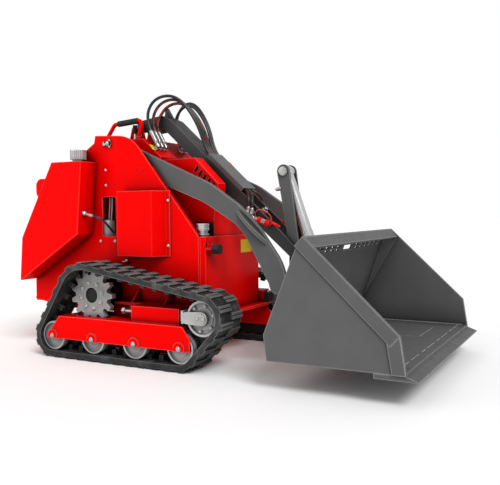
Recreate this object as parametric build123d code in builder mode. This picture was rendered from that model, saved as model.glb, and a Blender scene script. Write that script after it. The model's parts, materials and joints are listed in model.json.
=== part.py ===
"""Compact crawler skid steer loader with a bucket, in millimetres.

+X is forward (the bucket), +Y is left, +Z is up, and the ground is Z = 0.
Each part of the machine is one solid or one group of like solids.
"""
import os
from math import hypot, radians, tan

from build123d import *

os.makedirs("parts", exist_ok=True)

# running fits and side clearances
RUN = 0.3
SIDE_GAP = 5

# widths across the machine, from the hood out to the tracks
HOOD_HALF = 180
LIFT_BARREL_R = 27
LIFT_Y = HOOD_HALF + 8 + LIFT_BARREL_R
ARM_IN = LIFT_Y + LIFT_BARREL_R + SIDE_GAP
ARM_OUT = ARM_IN + 25
PLATE_IN = ARM_OUT + 18
PLATE_OUT = PLATE_IN + 10
TRACK_WIDTH = 190
TRACK_Y = PLATE_OUT + 30 + TRACK_WIDTH / 2
TANK_OUT = PLATE_OUT + 120
COVER_OUT = PLATE_OUT + 70

# rubber tracks
BELT = 27
LUG_HEIGHT = 8
LUG_ROOT = 5
LUG_COUNT = 35
LUG_LENGTH = 34
LUG_LAP = 8
HORN_HEIGHT = 25
HORN_LENGTH = 24
HORN_IN = 18
HORN_OUT = 38
ROLLER_R = 75
ROLLER_RIM = 64
ROLLER_HUB = 40
ROLLER_X = -800
ROLLER_PITCH = 264
ROLLER_COUNT = 4
ROLLER_Z = ROLLER_R + BELT + LUG_HEIGHT
RECESS = 4
SPROCKET_X = -592
SPROCKET_Z = 323
SPROCKET_WRAP = 138
SPROCKET_ROOT = 104
SPROCKET_TIP = 134
SPROCKET_TEETH = 13
SPROCKET_HALF = 15
SPROCKET_BORE = 40
IDLER_X = 115
IDLER_Z = 258
IDLER_R = 85
IDLER_RIM = 72
AXLE_R = 18

# track frames
FRAME_HALF = TRACK_WIDTH / 2 - 15
FRAME_WALL = 8
FRAME_TOP = 215
FRAME_LOW = 97
BOSS_R = 33
BOSS = 5
TENSION_REAR = -312
TENSION_FRONT = -30
TENSION_TOP = 290
TENSION_HALF = 45
FORK_OUT = FRAME_HALF + 2
FORK_PLATE = 12
FORK_R = 28
SHELF_LOW = 278
SHELF = 12
GUSSET_TOP = 356

# hull and tower
HULL_LOW = 225
HULL_TOP = 330
HULL_REAR = -1100
HULL_FRONT = -22
HULL_WALL = 12
REAR_END = -1135
REAR_LOW = 252
REAR_LIP = 282
BELLY_REAR = -905
TOW_R = 14
DECK_REAR = -310
DECK_TOP = 625
DECK_SHEET = 12
PANEL_FRONT = 2
PANEL_LOW = 240
BELLY_FRONT = 65
STEP_FRONT = 36
STEP_TOP = 303
SHEET = 6
CREST = 1156
SLOT_X = -585
SLOT_Z = 725
SLOT_WIDE = 90
SLOT_TALL = 208

# lift linkage, an exact parallelogram A B D G
A_X = -582
A_Z = 1112
G_X = 392
G_Z = 405
LINK_DX = 20
LINK_DZ = 105
B_X = A_X + LINK_DX
B_Z = A_Z + LINK_DZ
D_X = G_X + LINK_DX
D_Z = G_Z + LINK_DZ
E_X = 314
E_Z = 946
F_X = 508
F_Z = 400
ARM_PIN_R = 20
ARM_END_R = 40
ARM_BEND = 260
TIP_R = 46
TUBE_R = 30
FIN_RISE = 30
FIN_HALF = 8
LINK_HALF = 63
LINK_WALL = 12
LINK_DEPTH = 32
LINK_PIN_R = 16
LINK_END_R = 34
LINK_TIP_R = 27
LINK_TAPER = 260
KNEE_X = -390
KNEE_Z = 1238
EAR = 14
EAR_BASE = 55
EAR_IN = LINK_HALF + SIDE_GAP
LEVER_IN = 34
LEVER_OUT = LINK_HALF - LINK_WALL - SIDE_GAP
LEVER_LOW_R = 48
LEVER_MID = (372, 580)
LEVER_MID_R = 26
LEVER_TOP_R = 34
E_PIN_R = 15
D_PIN_R = 14

# tilt cylinder
TILT_BARREL_R = LEVER_IN - SIDE_GAP - 1
TILT_ROD_R = 17
TILT_REACH = 227
EYE_R = 22
EYE_HALF = 20
EYE_BORE = 12
F_EAR_IN = EYE_HALF + SIDE_GAP + 2
F_EAR = 14

# lift cylinders
H_X = -385
H_Z = 480
K_X = -304
K_Z = 972
LIFT_ROD_R = 13
LIFT_REACH = 78
LIFT_EYE_R = 24
LIFT_EYE_HALF = 15
LIFT_PIN_R = 14

# bucket
BUCKET_HALF = 615
BAND = 6
BAND_WIDTH = 55
SIDE_PLATE = 12
SHELL = 10
FLOOR_Z = 125
EDGE_TIP_X = 1135
EDGE_REAR_X = 960
EDGE_LOW = 104
BUCKET_HEEL = (501, FLOOR_Z)
BUCKET_NOSE = (1087, FLOOR_Z)
BUCKET_CHEEK = (1063, 273)
BUCKET_CROWN = (669, 646)
BUCKET_TOP = (637, 601)
BUCKET_KINK = (487, 234)
HOLE_COLUMNS = 6
HOLE_PITCH = 70
HOLE_FIRST = 130
HOLE_WIDE = 38
HOLE_TALL = 10
HOLE_ROWS = (360, 377)
WINDOW_WIDE = 112
WINDOW_TALL = 26
HITCH = 16
HITCH_HALF = ARM_IN + 13

# tanks, pad, handle and hoses
TANK_TOP = 1016
CAP_X = -737
CAP_R = 42
PAD_HALF = 280
PAD_X = -1085
PAD_Z = 885
PAD_R = 47
HANDLE_R = 11
GRIP_R = 16
HOSE_R = 8
HOSE_LANE = 21
COVER_HALF = LINK_HALF + 2
COVER_RISE = 24
COVER_A = 334
COVER_B = 612


def side(y):
    """Plane across the machine at the given y, seen from the right."""
    return Plane.XZ.offset(-y)


def plate(points, y_low, y_high, mode=Mode.ADD, radius=0):
    """Flat plate with the given side outline, between two y values."""
    with BuildSketch(side(y_high)) as profile:
        with BuildLine():
            Polyline(*points, close=True)
        make_face()
        if radius:
            fillet(profile.vertices(), radius)
    extrude(profile.sketch, amount=y_high - y_low, mode=mode)


def disc(points, radius, y_low, y_high, mode=Mode.ADD, bore=0):
    """Round bars or rings across the machine at the given side points."""
    with BuildSketch(side(y_high)) as profile:
        with Locations(*points):
            Circle(radius)
            if bore:
                Circle(bore, mode=Mode.SUBTRACT)
    extrude(profile.sketch, amount=y_high - y_low, mode=mode)


def strap(point_a, radius_a, point_b, radius_b, y_low, y_high):
    """Plate with round ends of two radii."""
    with BuildSketch(side(y_high)) as profile:
        with Locations(point_a):
            Circle(radius_a)
        with Locations(point_b):
            Circle(radius_b)
        make_hull()
    extrude(profile.sketch, amount=y_high - y_low)


def ear(point, radius, base, y_low, y_high):
    """Lug plate from a straight base up to a round eye."""
    with BuildSketch(side(y_high)) as profile:
        with Locations(point):
            Circle(radius)
        with BuildLine():
            Polyline(*base, close=True)
        make_face()
        make_hull()
    extrude(profile.sketch, amount=y_high - y_low)


def block(x_low, x_high, y_low, y_high, z_low, z_high, mode=Mode.ADD):
    """Box between six faces."""
    with Locations(((x_low + x_high) / 2, (y_low + y_high) / 2, (z_low + z_high) / 2)):
        Box(x_high - x_low, y_high - y_low, z_high - z_low, mode=mode)


def bar(origin, direction, radius, start, end, mode=Mode.ADD):
    """Round bar along a direction, from start to end past its origin."""
    with BuildSketch(Plane(origin=origin, z_dir=direction).offset(start)) as profile:
        Circle(radius)
    extrude(profile.sketch, amount=end - start, mode=mode)


def finish(builder, name):
    """Name the finished piece and write it."""
    builder.part.label = name
    export_step(builder.part, "parts/" + name + ".step")


def both_sides(builder, name):
    """Write the right piece and its mirror image on the left."""
    finish(builder, name + "_right")
    with BuildPart() as left:
        mirror(builder.part, about=Plane.XZ)
    finish(left, name + "_left")


# rubber tracks: a belt round the sprocket, the idler and the end rollers
ROLLER_SPOTS = [(ROLLER_X + ROLLER_PITCH * i, ROLLER_Z) for i in range(ROLLER_COUNT)]
IDLER_SPOT = (IDLER_X, IDLER_Z)
SPROCKET_SPOT = (SPROCKET_X, SPROCKET_Z)
TRACK_MIDDLE = Vector(-300, 0, 220)


def loop(extra):
    """Outline of the track at a distance outside the wheels it wraps."""
    with BuildSketch(side(-TRACK_Y + TRACK_WIDTH / 2)) as outline:
        with Locations(SPROCKET_SPOT):
            Circle(SPROCKET_WRAP + extra)
        with Locations(IDLER_SPOT):
            Circle(IDLER_R + extra)
        with Locations(ROLLER_SPOTS[0], ROLLER_SPOTS[-1]):
            Circle(ROLLER_R + extra)
        make_hull()
    return outline.sketch


def stations(outline, phase, y, sign):
    """Planes spaced evenly along a loop, facing out of it (1) or into it (-1)."""
    wire = outline.faces()[0].outer_wire()
    planes = []
    for index in range(LUG_COUNT):
        along = wire.length * ((index + phase) % LUG_COUNT) / LUG_COUNT
        place = wire.position_at(along, position_mode=PositionMode.LENGTH)
        way = wire.tangent_at(along, position_mode=PositionMode.LENGTH)
        facing = Vector(0, 1, 0).cross(way).normalized()
        if facing.dot(place - TRACK_MIDDLE) * sign < 0:
            facing = -facing
        origin = place - facing * LUG_ROOT
        planes.append(Plane(origin=(origin.X, y, origin.Z), x_dir=(0, 1, 0), z_dir=facing))
    return planes


with BuildPart() as track:
    outer = loop(BELT)
    inner = loop(0)
    extrude(outer, amount=TRACK_WIDTH)
    extrude(inner, amount=TRACK_WIDTH, mode=Mode.SUBTRACT)
    for row, phase in ((-1, 0), (1, 0.5)):
        lug_y = -TRACK_Y + row * (TRACK_WIDTH / 4 - LUG_LAP / 2)
        with BuildSketch(*stations(outer, phase, lug_y, 1)):
            Rectangle(TRACK_WIDTH / 2 + LUG_LAP, LUG_LENGTH)
        extrude(amount=LUG_HEIGHT + LUG_ROOT)
        horn_y = -TRACK_Y + row * (HORN_IN + HORN_OUT) / 2
        with BuildSketch(*stations(inner, 0.25, horn_y, -1)):
            Rectangle(HORN_OUT - HORN_IN, HORN_LENGTH)
        extrude(amount=HORN_HEIGHT + LUG_ROOT)
both_sides(track, "track")

# track rollers, four a side, each two rimmed flanges on a hub and axle
FLANGE_IN = HORN_OUT + 4
FLANGE_OUT = FRAME_HALF - FRAME_WALL - 7
FRAME_ROOM = FRAME_HALF - FRAME_WALL


def wheel(spots, radius, rim, hub, half, axle_half):
    """Double-flanged wheels with a shallow ring recess in each outer face."""
    disc(spots, AXLE_R, -TRACK_Y - axle_half, -TRACK_Y + axle_half)
    disc(spots, hub, -TRACK_Y - half, -TRACK_Y + half)
    for low, high in ((-half, -FLANGE_IN), (FLANGE_IN, half)):
        disc(spots, radius - RUN, -TRACK_Y + low, -TRACK_Y + high)
    for low in (-half, half - RECESS):
        disc(spots, rim, -TRACK_Y + low, -TRACK_Y + low + RECESS, Mode.SUBTRACT, bore=hub)


with BuildPart() as rollers:
    wheel(ROLLER_SPOTS, ROLLER_R, ROLLER_RIM, ROLLER_HUB, FLANGE_OUT, FRAME_ROOM)
both_sides(rollers, "track_rollers")

# track frames: channels over the rollers, the tensioner box, the shelf to the hull
FRAME_OUTLINE = [
    (-757, FRAME_TOP),
    (10, FRAME_TOP),
    (52, 158),
    (52, FRAME_LOW),
    (-826, FRAME_LOW),
    (-826, 126),
]
SHELF_REAR = -490
SHELF_FRONT = -45
GUSSET_X = (-395, -195)
TENSION_ROD_Z = 255
with BuildPart() as track_frame:
    plate(FRAME_OUTLINE, -TRACK_Y - FRAME_HALF, -TRACK_Y + FRAME_HALF)
    block(
        2 * ROLLER_X,
        IDLER_X,
        -TRACK_Y - FRAME_ROOM,
        -TRACK_Y + FRAME_ROOM,
        0,
        FRAME_TOP - FRAME_WALL,
        mode=Mode.SUBTRACT,
    )
    block(
        SPROCKET_X - SPROCKET_TIP,
        SPROCKET_X + SPROCKET_TIP,
        -TRACK_Y - HORN_IN - SIDE_GAP,
        -TRACK_Y + HORN_IN + SIDE_GAP,
        FRAME_TOP - FRAME_WALL,
        FRAME_TOP,
        mode=Mode.SUBTRACT,
    )
    with BuildSketch(side(-TRACK_Y - FRAME_HALF)) as bosses:
        with Locations(*ROLLER_SPOTS):
            Circle(BOSS_R)
        with Locations((ROLLER_X, FRAME_LOW)):
            Rectangle(4 * ROLLER_PITCH * ROLLER_COUNT, 2 * BOSS_R, align=(Align.CENTER, Align.MAX),
                      mode=Mode.SUBTRACT)
    extrude(bosses.sketch, amount=BOSS)
    block(
        TENSION_REAR,
        TENSION_FRONT,
        -TRACK_Y - TENSION_HALF,
        -TRACK_Y + TENSION_HALF,
        FRAME_TOP,
        TENSION_TOP,
    )
    bar((TENSION_REAR, -TRACK_Y, TENSION_ROD_Z), (-1, 0, 0), 9, 0, 85)
    bar((TENSION_REAR, -TRACK_Y, TENSION_ROD_Z), (-1, 0, 0), 14, 72, 85)
    block(SHELF_REAR, SHELF_FRONT, -TRACK_Y + TENSION_HALF, -PLATE_OUT, SHELF_LOW, SHELF_LOW + SHELF)
    for x in GUSSET_X:
        block(x, x + SHELF, -TRACK_Y + TENSION_HALF, -PLATE_OUT, FRAME_TOP, SHELF_LOW)
        with BuildSketch(Plane.YZ.offset(x)) as gusset:
            with BuildLine():
                Polyline(
                    (-TRACK_Y + TENSION_HALF, SHELF_LOW),
                    (-PLATE_OUT, SHELF_LOW),
                    (-PLATE_OUT, GUSSET_TOP),
                    close=True,
                )
            make_face()
        extrude(gusset.sketch, amount=SHELF)
both_sides(track_frame, "track_frame")

# front idlers and the forks that push them forward
FORK_IN = FORK_OUT - FORK_PLATE
with BuildPart() as idler:
    wheel([IDLER_SPOT], IDLER_R, IDLER_RIM, 52, FORK_IN - 8, FORK_IN)
both_sides(idler, "idler")

FORK_REAR = 20
with BuildPart() as idler_fork:
    block(
        TENSION_FRONT,
        FORK_REAR - 10,
        -TRACK_Y - TENSION_HALF + 8,
        -TRACK_Y + TENSION_HALF - 8,
        IDLER_Z - FORK_R + 2,
        IDLER_Z + FORK_R - 2,
    )
    block(
        FORK_REAR - 12,
        FORK_REAR,
        -TRACK_Y - FORK_OUT,
        -TRACK_Y + FORK_OUT,
        IDLER_Z - FORK_R,
        IDLER_Z + FORK_R,
    )
    for y in (-TRACK_Y - FORK_OUT, -TRACK_Y + FORK_IN):
        strap((FORK_REAR + FORK_R - 12, IDLER_Z), FORK_R, IDLER_SPOT, FORK_R + 4, y, y + FORK_PLATE)
    disc([IDLER_SPOT], 24, -TRACK_Y - FORK_OUT - 5, -TRACK_Y - FORK_OUT)
both_sides(idler_fork, "idler_fork")

# drive sprockets, flat toothed rings, and the motors behind them
TOOTH_ROOT = 36
TOOTH_ANGLE = 76
with BuildPart() as sprocket:
    with BuildSketch(side(-TRACK_Y + SPROCKET_HALF)) as ring:
        with Locations(SPROCKET_SPOT):
            Circle(SPROCKET_ROOT)
            with PolarLocations((SPROCKET_ROOT + SPROCKET_TIP) / 2 - 2, SPROCKET_TEETH):
                Trapezoid(TOOTH_ROOT, SPROCKET_TIP - SPROCKET_ROOT + 4, TOOTH_ANGLE, rotation=-90)
            Circle(SPROCKET_BORE, mode=Mode.SUBTRACT)
    extrude(ring.sketch, amount=2 * SPROCKET_HALF)
both_sides(sprocket, "sprocket")

MOTOR_FACE = 55
with BuildPart() as drive_motor:
    disc([SPROCKET_SPOT], 80, -TRACK_Y + SPROCKET_HALF, -TRACK_Y + MOTOR_FACE)
    disc([SPROCKET_SPOT], SPROCKET_BORE - 6, -TRACK_Y - SPROCKET_HALF + 8, -TRACK_Y + SPROCKET_HALF)
    disc([SPROCKET_SPOT], 92, -TRACK_Y + MOTOR_FACE, -PLATE_OUT)
both_sides(drive_motor, "drive_motor")

# hull: an open tub between the side plates, with a belly plate and a rear lip
HULL = [
    (HULL_REAR, HULL_TOP),
    (HULL_REAR, REAR_LOW + 4),
    (BELLY_REAR, HULL_LOW),
    (HULL_FRONT, HULL_LOW),
    (HULL_FRONT, HULL_TOP),
]
with BuildPart() as hull:
    plate(HULL, -PLATE_IN, PLATE_IN)
    offset(amount=-HULL_WALL, openings=hull.faces().sort_by(Axis.Z)[-1])
    block(HULL_FRONT, BELLY_FRONT, -PLATE_IN, PLATE_IN, HULL_LOW, PANEL_LOW)
    block(REAR_END, HULL_REAR, -PLATE_IN, PLATE_IN, REAR_LOW, REAR_LIP)
    with Locations((REAR_END + 18, 0, HULL_LOW)):
        Cylinder(TOW_R, 2 * REAR_LIP, mode=Mode.SUBTRACT)
finish(hull, "hull")

# tower side plates, with the access slot and the pins of the lift cylinders
TOWER_REAR = [(-672, CREST), (-680, 1117), (-734, 1083), (-860, 990), (-1128, 370), (-1128, REAR_LIP)]
TOWER = TOWER_REAR + [
    (REAR_END + 1, REAR_LOW + 10),
    (BELLY_REAR, HULL_LOW),
    (-60, HULL_LOW),
    (HULL_FRONT, 300),
    (-25, DECK_TOP),
    (-434, 1143),
]
TOWER_BEND = 185
LIP = 8
LIP_START = 14
LIP_END = 455
SLOPE_LOW = Vector(TOWER[-2][0], TOWER[-2][1])
SLOPE_WAY = (Vector(TOWER[-1][0], TOWER[-1][1]) - SLOPE_LOW).normalized()


def on_slope(along, out):
    """Point up the tower's sloping front edge, and out of it."""
    return (
        SLOPE_LOW.X + SLOPE_WAY.X * along + SLOPE_WAY.Y * out,
        SLOPE_LOW.Y + SLOPE_WAY.Y * along - SLOPE_WAY.X * out,
    )


with BuildPart() as side_plate:
    with BuildSketch(side(-PLATE_IN)) as tower:
        with BuildLine():
            Polyline(*TOWER, close=True)
        make_face()
        fillet(tower.vertices().filter_by(lambda v: v.X > -500 and v.Y > 1000), TOWER_BEND)
    extrude(tower.sketch, amount=PLATE_OUT - PLATE_IN)
    plate(
        [on_slope(LIP_START, 0), on_slope(LIP_END, 0), on_slope(LIP_END, -LIP), on_slope(LIP_START, -LIP)],
        -PLATE_OUT,
        -ARM_OUT - SIDE_GAP,
    )
    with BuildSketch(side(-PLATE_IN)) as slot:
        with Locations((SLOT_X, SLOT_Z)):
            RectangleRounded(SLOT_WIDE, SLOT_TALL, 14)
    extrude(slot.sketch, amount=PLATE_OUT - PLATE_IN, mode=Mode.SUBTRACT)
    disc([(A_X, A_Z)], ARM_PIN_R, -PLATE_IN, -ARM_IN + 12)
    disc([(A_X, A_Z)], ARM_PIN_R, -PLATE_OUT - 4, -PLATE_OUT)
    disc([(H_X, H_Z)], LIFT_PIN_R, -PLATE_IN, -LIFT_Y + LIFT_EYE_HALF + 8)
    disc([(H_X, H_Z)], 30, -PLATE_IN, -LIFT_Y - LIFT_BARREL_R - 2)
both_sides(side_plate, "side_plate")

# front panel with its lower steps, and the deck behind it
PANEL_HALF = PLATE_OUT - 2
PANEL_BEND = 20
BUFFER_Y = 250
BUFFER_Z = 563
BUFFER_R = 27
BUFFER_NECK = 28
STEP_IN = 270
STEP_OUT = TRACK_Y - TRACK_WIDTH / 2 - 8
with BuildPart() as front_panel:
    block(HULL_FRONT, PANEL_FRONT, -PANEL_HALF, PANEL_HALF, PANEL_LOW, DECK_TOP)
    chamfer(front_panel.edges().filter_by(Axis.Z).group_by(Axis.X)[-1], PANEL_BEND)
    for y in (-STEP_OUT, STEP_IN):
        block(HULL_FRONT, STEP_FRONT, y, y + STEP_OUT - STEP_IN, PANEL_LOW, STEP_TOP)
    with BuildSketch(Plane.YZ.offset(PANEL_FRONT)) as necks:
        with Locations((-BUFFER_Y, BUFFER_Z), (BUFFER_Y, BUFFER_Z)):
            RegularPolygon(BUFFER_R - 1, 4)
    extrude(necks.sketch, amount=BUFFER_NECK)
finish(front_panel, "front_panel")

with BuildPart() as deck:
    block(DECK_REAR, HULL_FRONT, -PLATE_IN, PLATE_IN, HULL_TOP, DECK_TOP)
    block(
        DECK_REAR + DECK_SHEET,
        HULL_FRONT,
        -PLATE_IN,
        PLATE_IN,
        HULL_TOP,
        DECK_TOP - DECK_SHEET,
        mode=Mode.SUBTRACT,
    )
finish(deck, "deck")

# rear panel: bent sheet between the side plates, behind the tower
REAR_SHEET = SHEET + 2
REAR_TOP = Vector(*TOWER_REAR[2])
REAR_WAY = (REAR_TOP - Vector(*TOWER_REAR[3])).normalized()
REAR_INNER = (REAR_TOP.X + REAR_WAY.Y * REAR_SHEET, REAR_TOP.Y - REAR_WAY.X * REAR_SHEET)
with BuildPart() as rear_panel:
    with BuildSketch(side(PLATE_IN)) as sheet:
        with BuildLine():
            Polyline(*TOWER_REAR[2:])
            offset(amount=REAR_SHEET, side=Side.LEFT)
        make_face()
    extrude(sheet.sketch, amount=2 * PLATE_IN)
finish(rear_panel, "rear_panel")

# console on top of the tower, with the ears that carry the levelling link
CONSOLE_TOP = 1140
CONSOLE = [
    REAR_INNER,
    (-716, CONSOLE_TOP),
    (-448, CONSOLE_TOP),
    (-335, 1040),
    (-335, 940),
    (REAR_INNER[0], 940),
]
with BuildPart() as console:
    plate(CONSOLE, -HOOD_HALF, HOOD_HALF)
    offset(amount=-SHEET, openings=console.faces().sort_by(Axis.Z)[0])
    base = [
        (B_X - EAR_BASE, CONSOLE_TOP - 2),
        (B_X + EAR_BASE, CONSOLE_TOP - 2),
        (B_X + EAR_BASE, CONSOLE_TOP),
        (B_X - EAR_BASE, CONSOLE_TOP),
    ]
    for y in (-EAR_IN - EAR, EAR_IN):
        ear((B_X, B_Z), LINK_END_R, base, y, y + EAR)
    disc([(B_X, B_Z)], LINK_PIN_R, -EAR_IN - EAR - 8, EAR_IN + EAR + 8)
finish(console, "console")

# engine hood: two shoulders with louvres and a valley for the link between them
VALLEY = 100
SHOULDER = [
    (-325, DECK_TOP),
    (-325, 1020),
    (-122, 1024),
    (14, 890),
    (12, 850),
    (-8, 700),
    (-8, DECK_TOP),
]
VALLEY_LINE = [(-330, 1060), (-330, 1005), (-160, 880), (-20, 745), (40, 690), (90, 640), (90, 1060)]
LOUVRES = 5
LOUVRE_X = -111
LOUVRE_Z = 965
LOUVRE_DX = 24
LOUVRE_DZ = -22
LOUVRE_LONG = 36
LOUVRE_WIDE = 14
LOUVRE_TURN = 54
with BuildPart() as hood:
    plate(SHOULDER, -HOOD_HALF, HOOD_HALF)
    plate(VALLEY_LINE, -VALLEY, VALLEY, mode=Mode.SUBTRACT)
    offset(amount=-SHEET, openings=hood.faces().sort_by(Axis.Z)[0])
    for y in (HOOD_HALF, SHEET - HOOD_HALF):
        with BuildSketch(side(y)) as louvres:
            for i in range(LOUVRES):
                with Locations((LOUVRE_X + LOUVRE_DX * i, LOUVRE_Z + LOUVRE_DZ * i)):
                    Rectangle(LOUVRE_LONG, LOUVRE_WIDE, rotation=LOUVRE_TURN)
        extrude(louvres.sketch, amount=SHEET, mode=Mode.SUBTRACT)
finish(hood, "hood")

# engine: one plain block on the deck
with BuildPart() as engine:
    block(-290, -60, -140, 140, DECK_TOP, 735)
finish(engine, "engine")

# tanks on the tower sides, with knurled caps
TANK = [
    (-874, TANK_TOP),
    (-667, TANK_TOP),
    (-699, 634),
    (-1124, 372),
    (-1103, 614),
]
with BuildPart() as tank:
    plate(TANK, -TANK_OUT, -PLATE_OUT, radius=6)
    fillet(tank.faces().sort_by(Axis.Y)[0].edges(), 5)
both_sides(tank, "tank")

CAP_SPOT = (CAP_X, -(TANK_OUT + PLATE_OUT) / 2, TANK_TOP)
CAP_TALL = 62
KNURLS = 24
KNURL_R = 3
with BuildPart() as tank_cap:
    bar(CAP_SPOT, (0, 0, 1), CAP_R - 12, 0, 12)
    bar(CAP_SPOT, (0, 0, 1), CAP_R, 12, CAP_TALL)
    with BuildSketch(Plane(origin=CAP_SPOT).offset(12)) as knurls:
        with PolarLocations(CAP_R, KNURLS):
            Circle(KNURL_R)
    extrude(knurls.sketch, amount=CAP_TALL - 20, mode=Mode.SUBTRACT)
both_sides(tank_cap, "tank_cap")

# bolted cover boxes on the tower sides, with a sloping front and a flange
COVER_LOW = 523
COVER_TOP = 856
COVER_FLANGE = 6
with BuildPart() as cover_box:
    with BuildSketch(Plane.XY.offset(COVER_LOW)) as plan:
        with BuildLine():
            Polyline(
                (-475, -PLATE_OUT),
                (-475, -COVER_OUT),
                (-257, -COVER_OUT),
                (-214, -PLATE_OUT - COVER_FLANGE),
                (-189, -PLATE_OUT - COVER_FLANGE),
                (-189, -PLATE_OUT),
                close=True,
            )
        make_face()
    extrude(plan.sketch, amount=COVER_TOP - COVER_LOW)
both_sides(cover_box, "cover_box")

# pad across the back, where the operator leans, on two brackets
PAD_ARM_Y = 170
PAD_ARM = 14
PAD_ARM_HALF = 20


def rear_x(z):
    """Where the sloping rear panel is at a height."""
    top_x, top_z = TOWER_REAR[3]
    low_x, low_z = TOWER_REAR[4]
    return top_x + (z - top_z) * (low_x - top_x) / (low_z - top_z)


with BuildPart() as rear_pad:
    with BuildSketch(side(PAD_HALF)) as pad:
        with Locations((PAD_X, PAD_Z)):
            RectangleRounded(2 * PAD_R, 2 * PAD_R + 20, PAD_R - 6)
    extrude(pad.sketch, amount=2 * PAD_HALF)
    for y in (-PAD_ARM_Y - PAD_ARM, PAD_ARM_Y):
        plate(
            [
                (PAD_X, PAD_Z - PAD_ARM_HALF),
                (PAD_X, PAD_Z + PAD_ARM_HALF),
                (rear_x(PAD_Z + PAD_ARM_HALF), PAD_Z + PAD_ARM_HALF),
                (rear_x(PAD_Z - PAD_ARM_HALF), PAD_Z - PAD_ARM_HALF),
            ],
            y,
            y + PAD_ARM,
        )
finish(rear_pad, "rear_pad")

# grab handle on the right of the console, with its rubber grip
HANDLE_Y = -165
HANDLE_FEET = ((-705, HANDLE_Y, CONSOLE_TOP), (-486, HANDLE_Y, CONSOLE_TOP))
HANDLE_REAR = Vector(-648, HANDLE_Y, 1227)
HANDLE_FRONT = Vector(-456, HANDLE_Y, 1241)
FOOT = 14
GRIP_START = 28
GRIP_END = 158
with BuildPart() as grab_handle:
    with BuildLine() as rail:
        rear_foot, front_foot = [Vector(foot) + Vector(0, 0, FOOT - 2) for foot in HANDLE_FEET]
        FilletPolyline(rear_foot, HANDLE_REAR, HANDLE_FRONT, front_foot, radius=2 * HANDLE_R)
    with BuildSketch(Plane(origin=rail.line @ 0, z_dir=rail.line % 0)):
        Circle(HANDLE_R)
    sweep()
    for foot in HANDLE_FEET:
        bar(foot, (0, 0, 1), HANDLE_R + 5, 0, FOOT)
finish(grab_handle, "grab_handle")

with BuildPart() as handle_grip:
    grip_way = HANDLE_FRONT - HANDLE_REAR
    bar(HANDLE_REAR, grip_way, GRIP_R, GRIP_START, GRIP_END)
    bar(HANDLE_REAR, grip_way, HANDLE_R, GRIP_START, GRIP_END, mode=Mode.SUBTRACT)
finish(handle_grip, "handle_grip")

# control levers on the console
LEVER_X = (-539, -502)
LEVER_Y = -128
LEVER_ROD = 35
LEVER_TALL = 81
with BuildPart() as control_levers:
    for x in LEVER_X:
        bar((x, LEVER_Y, CONSOLE_TOP), (0, 0, 1), 5, 0, LEVER_ROD)
        bar((x, LEVER_Y, CONSOLE_TOP), (0, 0, 1), 12, LEVER_ROD, LEVER_TALL)
finish(control_levers, "control_levers")

# front filler on the deck, rubber buffers on the front panel and its steps
BUFFER_LONG = 38
FILLER = (-36, -ARM_IN + 3, DECK_TOP)
with BuildPart() as front_filler:
    bar(FILLER, (0, 0, 1), 25, 0, 30)
    bar(FILLER, (0, 0, 1), 31, 30, 64)
finish(front_filler, "front_filler")

with BuildPart() as buffers:
    with BuildSketch(Plane.YZ.offset(PANEL_FRONT + BUFFER_NECK)) as heads:
        with Locations((-BUFFER_Y, BUFFER_Z), (BUFFER_Y, BUFFER_Z)):
            RegularPolygon(BUFFER_R, 6)
    extrude(heads.sketch, amount=BUFFER_LONG)
    for y in (-STEP_OUT, STEP_IN):
        block(STEP_FRONT, STEP_FRONT + 32, y, y + STEP_OUT - STEP_IN, PANEL_LOW, STEP_TOP - 13)
finish(buffers, "buffers")

# hydraulic fittings on the sloped front of the console, each an elbow on a nut
PANEL_SLOPE = Vector(CONSOLE_TOP - CONSOLE[3][1], 0, CONSOLE[3][0] - CONSOLE[2][0]).normalized()
ELBOW = Vector(-0.5, 0, 0.87).normalized()
FITTING_Y = (-150, -115, -80, 80, 115)
FITTING_X = -385
FITTING_Z = CONSOLE_TOP - (FITTING_X - CONSOLE[2][0]) * PANEL_SLOPE.X / PANEL_SLOPE.Z
NUT = 22
ELBOW_LONG = 62
with BuildPart() as fittings:
    for y in FITTING_Y:
        spot = Vector(FITTING_X, y, FITTING_Z)
        bar(spot, PANEL_SLOPE, 12, 0, NUT)
        bar(spot + PANEL_SLOPE * NUT, ELBOW, HOSE_R + 2, -9, ELBOW_LONG)
finish(fittings, "fittings")

# lift arms, curved down to the bucket, with a stiffening fin on the outer face
ARM_TOP = [(-575, 1151), (-365, 1055), (20, 888), (187, 778), (305, 659), (414, 506), (G_X + TIP_R, G_Z)]
ARM_LOW = [(G_X - TIP_R, G_Z), (202, 669), (-10, 795), (-229, 879), (-600, 1076)]
FIN_START = Vector(176, -ARM_OUT, 752)
FIN_END = Vector(348, -ARM_OUT, 590)
FIN_WAY = FIN_END - FIN_START
with BuildPart() as arm:
    with BuildSketch(side(-ARM_IN)) as outline:
        with BuildLine():
            upper = FilletPolyline(*ARM_TOP, radius=ARM_BEND)
            lower = FilletPolyline(*ARM_LOW, radius=ARM_BEND)
            Line(upper @ 1, lower @ 0)
            Line(lower @ 1, upper @ 0)
        make_face()
        with Locations((A_X, A_Z)):
            Circle(ARM_END_R)
        with Locations((G_X, G_Z)):
            Circle(TIP_R)
        with Locations((A_X, A_Z)):
            Circle(ARM_PIN_R + RUN, mode=Mode.SUBTRACT)
    extrude(outline.sketch, amount=ARM_OUT - ARM_IN)
    disc([(K_X, K_Z)], 20, -ARM_IN, -LIFT_Y - LIFT_EYE_HALF - SIDE_GAP)
    with BuildSketch(Plane(origin=FIN_START, x_dir=FIN_WAY, z_dir=FIN_WAY.cross(Vector(0, -1, 0)))) as fin:
        with BuildLine():
            bow = ThreePointArc((0, 0), (FIN_WAY.length / 2, FIN_RISE), (FIN_WAY.length, 0))
            Line(bow @ 1, bow @ 0)
        make_face()
    extrude(fin.sketch, amount=FIN_HALF, both=True)
both_sides(arm, "arm")

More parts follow.
